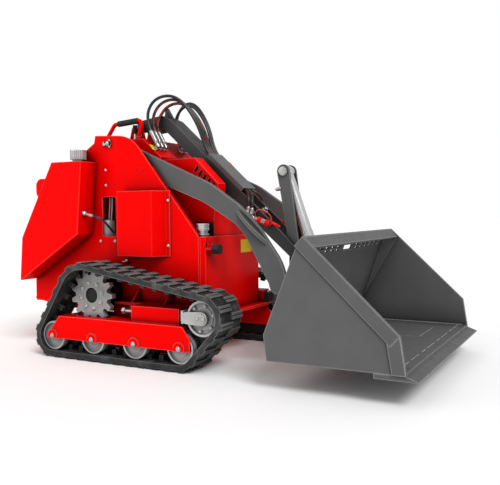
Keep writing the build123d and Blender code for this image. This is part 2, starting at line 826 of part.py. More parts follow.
with BuildPart() as cross_tube:
    disc([(G_X, G_Z)], TUBE_R, -ARM_IN, ARM_IN)
finish(cross_tube, "cross_tube")

# levelling link: a channel from the console ears to the lever, open underneath
SLOPE_LEN = hypot(D_X - KNEE_X, D_Z - KNEE_Z)
LINK_UX = (D_X - KNEE_X) / SLOPE_LEN
LINK_UZ = (D_Z - KNEE_Z) / SLOPE_LEN
LINK_ROOM = LINK_HALF - LINK_WALL
WEB_START = COVER_B + 130
WEB = 14
WEB_TOP = 12
TAB_TIP = (-423, 1318)


def on_link(along, across):
    """Point on the sloping part of the link."""
    return (
        KNEE_X + LINK_UX * along - LINK_UZ * across,
        KNEE_Z + LINK_UZ * along + LINK_UX * across,
    )


def link_box(start, end, low, high):
    """Four corners of a strip along the sloping part of the link."""
    return [on_link(start, low), on_link(end, low), on_link(end, high), on_link(start, high)]


with BuildPart() as link:
    plate(
        [
            (B_X, B_Z + LINK_END_R),
            (KNEE_X - 20, KNEE_Z + 35),
            on_link(20, LINK_DEPTH),
            on_link(SLOPE_LEN - LINK_TAPER, LINK_DEPTH),
            on_link(SLOPE_LEN, LINK_TIP_R),
            on_link(SLOPE_LEN, -LINK_TIP_R),
            on_link(SLOPE_LEN - LINK_TAPER, -LINK_DEPTH),
            on_link(20, -LINK_DEPTH),
            (B_X, B_Z - LINK_END_R),
        ],
        -LINK_HALF,
        LINK_HALF,
    )
    disc([(B_X, B_Z)], LINK_END_R, -LINK_HALF, LINK_HALF)
    disc([(D_X, D_Z)], LINK_TIP_R, -LINK_HALF, LINK_HALF)
    block(2 * B_X, KNEE_X - 35, -LINK_ROOM, LINK_ROOM, 0, 2 * B_Z, mode=Mode.SUBTRACT)
    plate(link_box(30, 2 * SLOPE_LEN, -100, LINK_DEPTH - 10), -LINK_ROOM, LINK_ROOM, mode=Mode.SUBTRACT)
    plate(link_box(COVER_B + 15, 2 * SLOPE_LEN, -100, 100), -LINK_ROOM, LINK_ROOM, mode=Mode.SUBTRACT)
    plate(link_box(WEB_START, WEB_START + WEB, -LINK_DEPTH + 10, WEB_TOP), -LINK_ROOM, LINK_ROOM)
    disc([(B_X, B_Z)], LINK_PIN_R + RUN, -LINK_HALF, LINK_HALF, mode=Mode.SUBTRACT)
    disc([(D_X, D_Z)], D_PIN_R + RUN, -LINK_HALF, LINK_HALF, mode=Mode.SUBTRACT)
    plate([(-430, 1255), (-365, 1250), (TAB_TIP[0] + 18, TAB_TIP[1]), TAB_TIP], -6, 6)
finish(link, "levelling_link")

# hose cover on top of the link: an open-ended channel with flanges
COVER_SHEET = 5
COVER_TOP_LINE = LINK_DEPTH + COVER_RISE
with BuildPart() as hose_cover:
    plate(link_box(COVER_A, COVER_B, LINK_DEPTH, COVER_TOP_LINE), -COVER_HALF, COVER_HALF)
    plate(
        link_box(COVER_A - 5, COVER_B + 5, 0, COVER_TOP_LINE - COVER_SHEET),
        -COVER_HALF + COVER_SHEET,
        COVER_HALF - COVER_SHEET,
        mode=Mode.SUBTRACT,
    )
    for y in (-COVER_HALF, LINK_HALF - COVER_SHEET):
        plate(
            link_box(COVER_A, COVER_B, LINK_DEPTH, LINK_DEPTH + COVER_SHEET),
            y,
            y + COVER_HALF - LINK_HALF + COVER_SHEET,
        )
finish(hose_cover, "hose_cover")

# auxiliary couplers along the outer faces of the link's walls, ahead of the cover
COUPLER_R = 15
COUPLER_Y = LINK_HALF + COUPLER_R
COUPLER_START = COVER_B + 173
COUPLER_LONG = 70
COUPLER_TAIL = 20
COUPLER_WAY = (0.94, 0, -0.34)
with BuildPart() as couplers:
    coupler_x, coupler_z = on_link(COUPLER_START, -5)
    for y in (-COUPLER_Y, COUPLER_Y):
        bar((coupler_x, y, coupler_z), COUPLER_WAY, COUPLER_R - 4, -COUPLER_TAIL, 0)
        bar((coupler_x, y, coupler_z), COUPLER_WAY, COUPLER_R, 0, COUPLER_LONG)
finish(couplers, "couplers")

# tilt lever: two plates from the cross tube up to the tilt cylinder
LEVER = LEVER_OUT - LEVER_IN
D_PIN_END = LINK_HALF + 6
LEVER_JOINTS = (
    ((E_X, E_Z), LEVER_TOP_R, LEVER_MID, LEVER_MID_R),
    (LEVER_MID, LEVER_MID_R, (G_X, G_Z), LEVER_LOW_R),
    (LEVER_MID, LEVER_MID_R, (D_X, D_Z), LINK_TIP_R),
    ((D_X, D_Z), LINK_TIP_R, (G_X, G_Z), LEVER_LOW_R),
)
with BuildPart() as lever:
    for y in (-LEVER_OUT, LEVER_IN):
        for upper_end, upper_r, lower_end, lower_r in LEVER_JOINTS:
            strap(upper_end, upper_r, lower_end, lower_r, y, y + LEVER)
    disc([(G_X, G_Z)], TUBE_R + 14, -LEVER_IN, LEVER_IN)
    disc([(G_X, G_Z)], TUBE_R + RUN, -LEVER_OUT, LEVER_OUT, mode=Mode.SUBTRACT)
    disc([(E_X, E_Z)], E_PIN_R, -LEVER_OUT - 12, LEVER_OUT + 12)
    for y in (-D_PIN_END, LEVER_IN):
        disc([(D_X, D_Z)], D_PIN_R, y, y + D_PIN_END - LEVER_IN)
finish(lever, "tilt_lever")

# tilt cylinder
TILT_LEN = hypot(F_X - E_X, F_Z - E_Z)
TILT_WAY = (F_X - E_X, 0, F_Z - E_Z)
TILT_BASE = (E_X, 0, E_Z)
TILT_END = TILT_LEN - TILT_REACH
with BuildPart() as tilt_barrel:
    bar(TILT_BASE, TILT_WAY, TILT_BARREL_R, 20, TILT_END)
    bar(TILT_BASE, TILT_WAY, TILT_BARREL_R + 2, TILT_END - 32, TILT_END)
    disc([(E_X, E_Z)], TILT_BARREL_R + 2, -TILT_BARREL_R, TILT_BARREL_R)
    bar(TILT_BASE, TILT_WAY, TILT_ROD_R + RUN, 60, TILT_END + 1, mode=Mode.SUBTRACT)
    disc([(E_X, E_Z)], E_PIN_R + RUN, -TILT_BARREL_R, TILT_BARREL_R, mode=Mode.SUBTRACT)
finish(tilt_barrel, "tilt_barrel")

with BuildPart() as tilt_rod:
    bar(TILT_BASE, TILT_WAY, TILT_ROD_R, 150, TILT_LEN)
    disc([(F_X, F_Z)], EYE_R, -EYE_HALF, EYE_HALF)
    disc([(F_X, F_Z)], EYE_BORE, -EYE_HALF, EYE_HALF, mode=Mode.SUBTRACT)
finish(tilt_rod, "tilt_rod")

# lift cylinders
LIFT_LEN = hypot(K_X - H_X, K_Z - H_Z)
LIFT_WAY = (K_X - H_X, 0, K_Z - H_Z)
LIFT_BASE = (H_X, -LIFT_Y, H_Z)
LIFT_END = LIFT_LEN - LIFT_REACH
with BuildPart() as lift_barrel:
    bar(LIFT_BASE, LIFT_WAY, LIFT_BARREL_R, 20, LIFT_END)
    disc([(H_X, H_Z)], LIFT_BARREL_R + 1, -LIFT_Y - LIFT_EYE_HALF, -LIFT_Y + LIFT_EYE_HALF)
    bar(LIFT_BASE, LIFT_WAY, LIFT_ROD_R + RUN, 32, LIFT_END + 1, mode=Mode.SUBTRACT)
    disc(
        [(H_X, H_Z)],
        LIFT_PIN_R + RUN,
        -LIFT_Y - LIFT_BARREL_R,
        -LIFT_Y + LIFT_BARREL_R,
        mode=Mode.SUBTRACT,
    )
both_sides(lift_barrel, "lift_barrel")

with BuildPart() as lift_rod:
    bar(LIFT_BASE, LIFT_WAY, LIFT_ROD_R, 62, LIFT_LEN)
    disc([(K_X, K_Z)], LIFT_EYE_R, -LIFT_Y - LIFT_EYE_HALF, -LIFT_Y + LIFT_EYE_HALF)
    disc([(K_X, K_Z)], EYE_BORE, -LIFT_Y - LIFT_EYE_HALF, -LIFT_Y + LIFT_EYE_HALF, mode=Mode.SUBTRACT)
both_sides(lift_rod, "lift_rod")

# bucket shell: floor, heel, back and top lip bent from one sheet, with two sides
BUCKET_SIDE = [BUCKET_HEEL, BUCKET_NOSE, BUCKET_CHEEK, BUCKET_CROWN, BUCKET_TOP, BUCKET_KINK]
BACK_LEN = hypot(BUCKET_TOP[0] - BUCKET_KINK[0], BUCKET_TOP[1] - BUCKET_KINK[1])
BACK_UX = (BUCKET_TOP[0] - BUCKET_KINK[0]) / BACK_LEN
BACK_UZ = (BUCKET_TOP[1] - BUCKET_KINK[1]) / BACK_LEN
SIDE_OUT = BUCKET_HALF - BAND
SIDE_IN = SIDE_OUT - SIDE_PLATE


def on_back(along, behind):
    """Point up the bucket's back, and a distance behind it."""
    return (
        BUCKET_KINK[0] + BACK_UX * along - BACK_UZ * behind,
        BUCKET_KINK[1] + BACK_UZ * along + BACK_UX * behind,
    )


BUCKET_ROOM = [
    (BUCKET_HEEL[0] + SHELL, FLOOR_Z + SHELL),
    (2 * EDGE_TIP_X, FLOOR_Z + SHELL),
    (2 * EDGE_TIP_X, BUCKET_CROWN[1]),
    (BUCKET_CROWN[0] + SHELL + 2, BUCKET_CROWN[1]),
    on_back(BACK_LEN, -SHELL),
    on_back(0, -SHELL),
]
BACK_PLANE = Plane(
    origin=(BUCKET_KINK[0], 0, BUCKET_KINK[1]),
    x_dir=(0, 1, 0),
    z_dir=(BACK_UZ, 0, -BACK_UX),
)
with BuildPart() as bucket:
    plate(BUCKET_SIDE, -SIDE_OUT, SIDE_OUT)
    plate(BUCKET_ROOM, -SIDE_IN, SIDE_IN, mode=Mode.SUBTRACT)
    with BuildSketch(BACK_PLANE) as sights:
        up = 1 if BACK_PLANE.y_dir.Z > 0 else -1
        for row in HOLE_ROWS:
            for column in range(HOLE_COLUMNS):
                reach = HOLE_FIRST + HOLE_PITCH * column
                with Locations((-reach, up * row), (reach, up * row)):
                    Rectangle(HOLE_WIDE, HOLE_TALL)
        with Locations((0, up * (HOLE_ROWS[0] + HOLE_ROWS[1]) / 2)):
            Rectangle(WINDOW_WIDE, WINDOW_TALL)
    extrude(sights.sketch, amount=2 * SHELL, both=True, mode=Mode.SUBTRACT)
finish(bucket, "bucket_shell")

# cutting edge under the floor's front
with BuildPart() as cutting_edge:
    plate(
        [
            (EDGE_REAR_X, FLOOR_Z),
            BUCKET_NOSE,
            (EDGE_TIP_X, EDGE_LOW + 3),
            (EDGE_TIP_X, EDGE_LOW),
            (EDGE_REAR_X, EDGE_LOW),
        ],
        -SIDE_OUT,
        SIDE_OUT,
    )
finish(cutting_edge, "cutting_edge")

# bands along the sloping side edges
FRONT_LEN = hypot(BUCKET_CROWN[0] - BUCKET_CHEEK[0], BUCKET_CROWN[1] - BUCKET_CHEEK[1])
FRONT_UX = (BUCKET_CROWN[0] - BUCKET_CHEEK[0]) / FRONT_LEN
FRONT_UZ = (BUCKET_CROWN[1] - BUCKET_CHEEK[1]) / FRONT_LEN


def on_front(along, inward):
    """Point up the sloping front edge of the bucket's side, and inward of it."""
    return (
        BUCKET_CHEEK[0] + FRONT_UX * along - FRONT_UZ * inward,
        BUCKET_CHEEK[1] + FRONT_UZ * along + FRONT_UX * inward,
    )


with BuildPart() as bucket_band:
    plate(
        [on_front(0, 0), on_front(FRONT_LEN, 0), on_front(FRONT_LEN, BAND_WIDTH), on_front(0, BAND_WIDTH)],
        -BUCKET_HALF,
        -SIDE_OUT,
    )
both_sides(bucket_band, "bucket_band")

# hitch on the bucket's back: plates, ears on the cross tube, ears for the tilt rod
EAR_HUB = TUBE_R + 16
TUBE_EAR = 24
TUBE_EAR_Y = ARM_IN - 13 - TUBE_EAR


def back_box(start, end, low, high):
    """Four corners of a strip up the bucket's back."""
    return [on_back(start, low), on_back(end, low), on_back(end, high), on_back(start, high)]


with BuildPart() as hitch:
    for y in (-HITCH_HALF, F_EAR_IN):
        plate(back_box(30, 300, 0, HITCH), y, y + HITCH_HALF - F_EAR_IN)
    for y in (-TUBE_EAR_Y - TUBE_EAR, TUBE_EAR_Y):
        ear((G_X, G_Z), EAR_HUB, back_box(60, 200, HITCH - 4, HITCH), y, y + TUBE_EAR)
    disc([(G_X, G_Z)], TUBE_R + RUN, -ARM_IN, ARM_IN, mode=Mode.SUBTRACT)
    for y in (-F_EAR_IN - F_EAR, F_EAR_IN):
        ear((F_X, F_Z), 24, back_box(120, 240, HITCH - 4, HITCH), y, y + F_EAR)
    for y in (-F_EAR_IN - F_EAR - 10, F_EAR_IN + F_EAR):
        disc([(F_X, F_Z)], 16, y, y + 10)
finish(hitch, "hitch")

# hoses from the fittings, arching over the console to the cover on the link
HOSE_TOP = 1372
HOSE_STEP = 17


def bend_radii(points):
    """Largest bend at each corner that leaves straight runs between bends."""
    radii = []
    for before, corner, after in zip(points, points[1:], points[2:]):
        run = min((corner - before).length, (after - corner).length)
        turn = (corner - before).get_angle(after - corner)
        radii.append(0.45 * run / tan(radians(turn / 2)))
    return radii


for number, y in enumerate(FITTING_Y):
    start = Vector(FITTING_X, y, FITTING_Z) + PANEL_SLOPE * NUT + ELBOW * (ELBOW_LONG + RUN)
    lane = (number - 2) * HOSE_LANE
    rank = number if y < 0 else 5 - number
    drop = HOSE_STEP * rank
    knee_x, knee_z = on_link(COVER_A - 30, LINK_DEPTH + HOSE_R + 4)
    end_x, end_z = on_link(COVER_A + 30, LINK_DEPTH + HOSE_R + 2)
    points = [
        start,
        start + ELBOW * (105 - drop),
        Vector(-410 + drop, (4 * y + lane) / 5, HOSE_TOP - 12 - drop),
        Vector(-290 + drop / 2, (2 * y + 3 * lane) / 5, HOSE_TOP - drop),
        Vector(-185 + drop / 3, (y + 5 * lane) / 6, 1232 - drop / 2),
        Vector(knee_x, lane, knee_z),
        Vector(end_x, lane, end_z),
    ]
    with BuildPart() as hose:
        with BuildLine() as route:
            FilletPolyline(*points, radius=bend_radii(points))
        with BuildSketch(Plane(origin=route.line @ 0, z_dir=route.line % 0)):
            Circle(HOSE_R)
        sweep()
    finish(hose, "hose_" + str(number + 1))
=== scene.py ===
"""Looks of the compact crawler loader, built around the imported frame, in metres."""

import json
from math import acos, atan2, cos, pi, radians, sin

import bmesh
import bpy
from mathutils import Matrix, Vector


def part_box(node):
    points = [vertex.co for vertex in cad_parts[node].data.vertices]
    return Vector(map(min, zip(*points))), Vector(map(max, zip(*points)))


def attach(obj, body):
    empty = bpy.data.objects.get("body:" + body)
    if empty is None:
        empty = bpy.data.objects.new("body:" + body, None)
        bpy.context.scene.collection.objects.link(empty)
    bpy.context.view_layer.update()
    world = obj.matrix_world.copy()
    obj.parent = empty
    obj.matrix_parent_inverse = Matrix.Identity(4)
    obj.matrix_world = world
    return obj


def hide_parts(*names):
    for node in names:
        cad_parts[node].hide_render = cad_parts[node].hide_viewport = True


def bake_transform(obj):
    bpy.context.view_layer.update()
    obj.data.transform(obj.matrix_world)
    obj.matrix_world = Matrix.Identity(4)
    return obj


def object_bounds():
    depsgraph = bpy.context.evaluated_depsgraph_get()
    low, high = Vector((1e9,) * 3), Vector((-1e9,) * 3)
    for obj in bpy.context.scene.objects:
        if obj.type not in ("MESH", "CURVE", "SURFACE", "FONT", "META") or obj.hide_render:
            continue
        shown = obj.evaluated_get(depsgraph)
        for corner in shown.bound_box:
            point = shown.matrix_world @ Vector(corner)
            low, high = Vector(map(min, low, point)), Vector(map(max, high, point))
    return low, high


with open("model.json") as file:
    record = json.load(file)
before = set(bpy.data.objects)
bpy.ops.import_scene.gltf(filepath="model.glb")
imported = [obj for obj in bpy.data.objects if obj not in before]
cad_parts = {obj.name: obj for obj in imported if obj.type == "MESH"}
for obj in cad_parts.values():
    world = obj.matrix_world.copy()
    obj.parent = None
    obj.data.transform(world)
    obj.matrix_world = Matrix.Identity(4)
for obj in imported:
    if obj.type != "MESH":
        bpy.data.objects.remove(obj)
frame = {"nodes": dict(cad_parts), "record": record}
CAD_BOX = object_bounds()
NODES = frame["nodes"]
MM = 0.001
SIDES = (-1, 1)
UP = (0, 0, 1)
DOWN = (0, 0, -1)
REARWARD = (-1, 0, 0)

# camera, from the photograph's perspective
CAMERA_AT = Vector((1.744, -3.038, 0.742))
CAMERA_AZIMUTH = 28.43
CAMERA_DOWN = 2.59
CAMERA_ROLL = -0.45
CAMERA_LENS = 47.8
CAMERA_SENSOR = 36
CAMERA_REACH = 100

# floor, surroundings and suns
FLOOR_REACH = 60
FLOOR_WHITE = (0.93, 0.93, 0.93)
ROOM_LIGHT = 0.62
BACKDROP = 1.0
KEY_FROM = (0.8, -0.6, 1.0)
KEY_POWER = 2.05
KEY_SOFTNESS = 24
FILL_FROM = (-0.8, -0.8, 0.5)
FILL_POWER = 0.45
FILL_SOFTNESS = 50

# the solid model's sizes that details are set by, in millimetres
PLATE_Y = 300
COVER_Y = 306
TRACK_MIDDLE = 425
SPROCKET_X, SPROCKET_Z = -592, 323
IDLER_X, IDLER_Z = 115, 258
ROLLER_FIRST = -800
ROLLER_PITCH = 264
ROLLER_COUNT = 4
ROLLER_Z = 110
ROLLER_XS = [ROLLER_FIRST + ROLLER_PITCH * i for i in range(ROLLER_COUNT)]

# outer faces of the running gear's right side, in metres
FRAME_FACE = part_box("track_frame_right")[0].y
FORK_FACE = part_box("idler_fork_right")[0].y
SPROCKET_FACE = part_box("sprocket_right")[0].y
ROLLER_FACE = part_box("track_rollers_right")[0].y
IDLER_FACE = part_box("idler_right")[0].y


# places


def at(x, y, z):
    """A place given in millimetres."""
    return Vector((x, y, z)) * MM


def on_face(x, face, z):
    """A place on a face across the machine: x and z in millimetres, the face's y in metres."""
    return Vector((x * MM, face, z * MM))


def placed(spot, facing):
    """A place on a spot, with its z axis along a facing direction."""
    return Matrix.Translation(spot) @ Vector(facing).to_track_quat("Z", "Y").to_matrix().to_4x4()


def side_way(angle):
    """The direction at an angle in the machine's side view."""
    return Vector((cos(angle), 0, sin(angle)))


def side_of(spot):
    """The side that a spot is on: -1 for right, 1 for left."""
    return -1 if spot.y < 0 else 1


def outward(spot):
    """Away from the machine's middle, to the spot's own side."""
    return Vector((0, side_of(spot), 0))


def flipped(spot):
    """The mirror image of a spot on the machine's other side."""
    return Vector((spot.x, -spot.y, spot.z))


def mirrored(spots):
    """Spots with their mirror images."""
    return spots + [flipped(spot) for spot in spots]


def both_sides(inner, outer):
    """The low and high y of a layer on each side of the machine."""
    return (-outer, -inner), (inner, outer)


# materials

# painted shade: how far ambient occlusion reaches to darken base colours in seams and under overhangs, and
# its samples
SHADE_REACHES = (0.03, 0.14)
SEAM_SHADE_REACHES = (0.03,)
SHADE_SAMPLES = 6
# painted highlight along edges: its radius, its samples and the stops of its mask
EDGE_HIGHLIGHT_RADIUS = 0.007
EDGE_HIGHLIGHT_SAMPLES = 4
EDGE_HIGHLIGHT_STOPS = [(0.88, (0.8, 0.8, 0.8)), (0.985, (0, 0, 0))]
TRACK_STOPS = [(0.34, (0.012, 0.012, 0.013)), (0.52, (0.030, 0.030, 0.030)), (0.70, (0.080, 0.080, 0.079))]
TRACK_EDGE_HIGHLIGHT = (0.22, 0.22, 0.22)
DUST_SCALE = 16.0
MOULD_SCALE = 240.0
CLOUD_SCALE = 7.0
GLOSS_SCALE = 23.0
GLOSS_VARY = 0.15
GRAIN_DEPTH = 0.0006
NOISE_LOW, NOISE_HIGH = 0.3, 0.7


def nodes_of(name):
    """A new node material, with its shader and its object coordinates."""
    made = bpy.data.materials.new(name)
    made.use_nodes = True
    tree = made.node_tree
    shader = tree.nodes["Principled BSDF"]
    place = tree.nodes.new("ShaderNodeTexCoord").outputs["Object"]
    return made, tree, shader, place


def noise(tree, place, scale, detail=3.0):
    """A noise texture's value over the surface."""
    texture = tree.nodes.new("ShaderNodeTexNoise")
    texture.inputs["Scale"].default_value = scale
    texture.inputs["Detail"].default_value = detail
    tree.links.new(place, texture.inputs["Vector"])
    return texture.outputs["Fac"]


def ramp(tree, value, stops):
    """A colour ramp over a value, from (position, colour) stops."""
    node = tree.nodes.new("ShaderNodeValToRGB")
    ends = node.color_ramp.elements
    for end, (position, colour) in zip(ends, (stops[0], stops[-1])):
        end.position = position
        end.color = (*colour, 1)
    for position, colour in stops[1:-1]:
        ends.new(position).color = (*colour, 1)
    tree.links.new(value, node.inputs["Fac"])
    return node.outputs["Color"]


def spread(tree, value, low, high):
    """A value between two limits, from a noise."""
    node = tree.nodes.new("ShaderNodeMapRange")
    node.inputs["From Min"].default_value = NOISE_LOW
    node.inputs["From Max"].default_value = NOISE_HIGH
    node.inputs["To Min"].default_value = low
    node.inputs["To Max"].default_value = high
    tree.links.new(value, node.inputs["Value"])
    return node.outputs["Result"]


def bump(tree, shader, value, strength, distance):
    """Fine relief on a shader, from a value."""
    node = tree.nodes.new("ShaderNodeBump")
    node.inputs["Strength"].default_value = strength
    node.inputs["Distance"].default_value = distance
    tree.links.new(value, node.inputs["Height"])
    tree.links.new(node.outputs["Normal"], shader.inputs["Normal"])


def grey(level):
    """A neutral colour."""
    return (level, level, level)


def scaled(colour, factor):
    """A colour made lighter or darker."""
    return tuple(channel * factor for channel in colour)


def edge_highlighted(tree, tint, edge):
    """A tint with a painted highlight along its edges, in another colour."""
    bevel = tree.nodes.new("ShaderNodeBevel")
    bevel.samples = EDGE_HIGHLIGHT_SAMPLES
    bevel.inputs["Radius"].default_value = EDGE_HIGHLIGHT_RADIUS
    flat = tree.nodes.new("ShaderNodeNewGeometry")
    turn = tree.nodes.new("ShaderNodeVectorMath")
    turn.operation = "DOT_PRODUCT"
    tree.links.new(bevel.outputs["Normal"], turn.inputs[0])
    tree.links.new(flat.outputs["Normal"], turn.inputs[1])
    mask = ramp(tree, turn.outputs["Value"], EDGE_HIGHLIGHT_STOPS)
    blend = tree.nodes.new("ShaderNodeMix")
    blend.data_type = "RGBA"
    blend.inputs["B"].default_value = (*edge, 1)
    tree.links.new(mask, blend.inputs["Factor"])
    tree.links.new(tint, blend.inputs["A"])
    return blend.outputs["Result"]


def shaded(tree, tint, reaches):
    """A tint with painted shade: darker in seams and under overhangs, by ambient occlusion."""
    for reach in reaches:
        corner = tree.nodes.new("ShaderNodeAmbientOcclusion")
        corner.samples = SHADE_SAMPLES
        corner.inputs["Distance"].default_value = reach
        tree.links.new(tint, corner.inputs["Color"])
        tint = corner.outputs["Color"]
    return tint


def finish_of(name, colour, roughness, metallic=0.0, vary=0.06, grain=900.0, relief=0.06, specular=0.5,
              edge=None, shade=()):
    """A finish with slight cloudy variation, uneven gloss and a fine grain, with a painted highlight along
    its edges when given an edge colour, and painted shade in seams and under overhangs when given shade
    reaches.
    """
    made, tree, shader, place = nodes_of(name)
    clouds = noise(tree, place, CLOUD_SCALE, detail=5.0)
    dim, bright = scaled(colour, 1 - vary), scaled(colour, 1 + vary)
    tint = ramp(tree, clouds, [(NOISE_LOW, dim), (NOISE_HIGH, bright)])
    # painted highlight along the edges
    if edge:
        tint = edge_highlighted(tree, tint, edge)
    # painted shade in seams and under overhangs
    tree.links.new(shaded(tree, tint, shade), shader.inputs["Base Color"])
    sheen = noise(tree, place, GLOSS_SCALE)
    gloss = spread(tree, sheen, roughness * (1 - GLOSS_VARY), roughness * (1 + GLOSS_VARY))
    tree.links.new(gloss, shader.inputs["Roughness"])
    shader.inputs["Metallic"].default_value = metallic
    shader.inputs["Specular IOR Level"].default_value = specular
    bump(tree, shader, noise(tree, place, grain, detail=2.0), relief, GRAIN_DEPTH)
    return made


def track_material():
    """Rubber with a dusty tone at random, a painted highlight along its edges, painted shade in seams and
    under overhangs, and fine moulding grain.
    """
    made, tree, shader, place = nodes_of("track_rubber")
    dust = noise(tree, place, DUST_SCALE, detail=8.0)
    tint = ramp(tree, dust, TRACK_STOPS)
    # painted highlight on the edges, then painted shade in seams and under overhangs
    tint = shaded(tree, edge_highlighted(tree, tint, TRACK_EDGE_HIGHLIGHT), SHADE_REACHES)
    tree.links.new(tint, shader.inputs["Base Color"])
    tree.links.new(spread(tree, dust, low=0.55, high=0.8), shader.inputs["Roughness"])
    shader.inputs["Specular IOR Level"].default_value = 0.35
    mould = noise(tree, place, MOULD_SCALE, detail=4.0)
    bump(tree, shader, mould, strength=0.3, distance=0.0012)
    return made


# finishes given an edge colour get a painted highlight along their edges; those given shade reaches get
# painted shade in seams and under overhangs
RED = finish_of("red_paint", (0.88, 0.0, 0.0), 0.34, vary=0.03, grain=420.0, relief=0.05, specular=0.03,
                edge=(1.0, 0.16, 0.14), shade=SHADE_REACHES)
GREY = finish_of("grey_paint", (0.095, 0.095, 0.096), 0.55, vary=0.07, relief=0.12, specular=0.25,
                 edge=grey(0.34), shade=SHADE_REACHES)
DARK = finish_of("dark_grey_paint", (0.027, 0.027, 0.028), 0.45, vary=0.08, relief=0.08, specular=0.45,
                 edge=grey(0.20), shade=SHADE_REACHES)
BLACK = finish_of("black_metal", grey(0.006), 0.5, specular=0.3)
RUBBER = finish_of("black_rubber", (0.014, 0.014, 0.015), 0.62, vary=0.15, relief=0.14, specular=0.35)
HOSE = finish_of("hose_rubber", (0.010, 0.010, 0.011), 0.36, vary=0.12, grain=1500.0)
STEEL = finish_of("cast_steel", (0.30, 0.30, 0.302), 0.44, metallic=0.3, vary=0.22, grain=260.0, relief=0.2,
                  edge=grey(0.55), shade=SEAM_SHADE_REACHES)
ZINC = finish_of("zinc_steel", (0.46, 0.46, 0.45), 0.34, metallic=0.85, vary=0.16, grain=500.0, relief=0.1,
                 edge=(0.62, 0.62, 0.61), shade=SEAM_SHADE_REACHES)
CHROME = finish_of("chrome", (0.72, 0.72, 0.73), 0.14, metallic=1.0, vary=0.04, grain=1500.0, relief=0.01)
SILVER = finish_of("silver_paint", (0.62, 0.62, 0.63), 0.24, metallic=0.7, vary=0.03, relief=0.04,
                   shade=SEAM_SHADE_REACHES)
CAST = finish_of("cast_aluminium", grey(0.55), 0.3, metallic=0.8, vary=0.1, edge=grey(0.9), shade=SEAM_SHADE_REACHES)
COVER = finish_of("satin_grey_paint", (0.085, 0.085, 0.086), 0.4, specular=0.5, edge=grey(0.2),
                  shade=SHADE_REACHES)
PADS = finish_of("worn_rubber", (0.075, 0.075, 0.076), 0.6, vary=0.3, relief=0.2, specular=0.3,
                 edge=grey(0.3), shade=SEAM_SHADE_REACHES)
BARE = finish_of("bare_steel", grey(0.42), 0.4, metallic=0.3, vary=0.2)
YELLOW = finish_of("yellow_label", (0.83, 0.56, 0.0), 0.42, vary=0.03, specular=0.2)
STRIPE = finish_of("hose_stripe", (0.40, 0.012, 0.01), 0.5, vary=0.10, specular=0.2)
TRACK = track_material()

SLOT_LOOKS = {
    "red_paint": RED,
    "grey_paint": GREY,
    "dark_grey_paint": DARK,
    "track_rubber": TRACK,
    "black_rubber": RUBBER,
    "hose_rubber": HOSE,
    "cast_steel": STEEL,
    "zinc_steel": ZINC,
    "black_metal": BLACK,
    "chrome": CHROME,
}

# the frame's own nodes: widths of softened edges in millimetres, for parts of either side or of none
SOFT_EDGES = {
    "side_plate": 2.0,
    "tank": 3.0,
    "cover_box": 4.0,
    "front_panel": 4.0,
    "hood": 3.0,
    "console": 4.0,
    "arm": 2.0,
    "levelling_link": 2.5,
    "hose_cover": 2.0,
    "tilt_lever": 2.0,
    "bucket_shell": 2.0,
    "bucket_band": 1.5,
    "track_frame": 3.0,
    "idler_fork": 2.0,
    "hull": 2.0,
    "track": 2.5,
}
WELD_GAP = 0.00002
FLAT_ANGLE = radians(0.5)
EDGE_ANGLE = radians(40)
EDGE_SEGMENTS = 2


def dress(node, look):
    """Give a carried-over node its material."""
    node.data.materials.clear()
    node.data.materials.append(look)


def soften(node, width):
    """Round a node's sharp edges a little, as bent and painted metal has them."""
    weld = node.modifiers.new("weld", "WELD")
    weld.merge_threshold = WELD_GAP
    flat = node.modifiers.new("flat", "DECIMATE")
    flat.decimate_type = "DISSOLVE"
    flat.angle_limit = FLAT_ANGLE
    edge = node.modifiers.new("edge", "BEVEL")
    edge.width = width
    edge.segments = EDGE_SEGMENTS
    edge.limit_method = "ANGLE"
    edge.angle_limit = EDGE_ANGLE
    even = node.modifiers.new("even", "WEIGHTED_NORMAL")
    even.keep_sharp = False


for part in frame["record"]["subparts"]:
    dress(NODES[part["node"]], SLOT_LOOKS[part["material_slot"]])
    stem = part["node"].removesuffix("_right").removesuffix("_left")
    if stem in SOFT_EDGES:
        soften(NODES[part["node"]], SOFT_EDGES[stem] * MM)
dress(NODES["tilt_barrel"], SILVER)
dress(NODES["hose_cover"], COVER)
for cap in ("tank_cap_right", "tank_cap_left", "front_filler"):
    dress(NODES[cap], CAST)


# shapes added to a bmesh

HEXAGON = 6
STRIPE_PITCH, STRIPE_DASH = 8, 6


def loft(form, loops, closed=False):
    """Faces between like loops of points, with both ends capped or the last loop joined to the first."""
    rings = [[form.verts.new(spot) for spot in loop] for loop in loops]
    following = rings[1:] + rings[:1] if closed else rings[1:]
    rows = []
    for lower, upper in zip(rings, following):
        row = []
        for i in range(len(lower)):
            j = (i + 1) % len(lower)
            row.append(form.faces.new((lower[i], lower[j], upper[j], upper[i])))
        rows.append(row)
    if not closed:
        form.faces.new(rings[0][::-1])
        form.faces.new(rings[-1])
    return rows


def circle(place, radius, height, steps):
    """Points round the z axis of a place."""
    angles = [2 * pi * i / steps for i in range(steps)]
    return [place @ Vector((radius * cos(a), radius * sin(a), height)) for a in angles]


def lathe(form, place, profile, steps=24):
    """A turned shape, from (radius, height) points up its axis."""
    loft(form, [circle(place, radius, height, steps) for radius, height in profile])


def washer(form, place, inner, outer, height, steps=48):
    """A flat ring standing on its place."""
    corners = ((inner, 0), (outer, 0), (outer, height), (inner, height))
    loft(form, [circle(place, radius, level, steps) for radius, level in corners], closed=True)


def nut(form, place, radius, low, high, narrow=0.0015, rise=0.002):
    """A hexagon between two heights, with a chamfer above."""
    lathe(form, place, [(radius, low), (radius, high), (radius - narrow, high + rise)], HEXAGON)


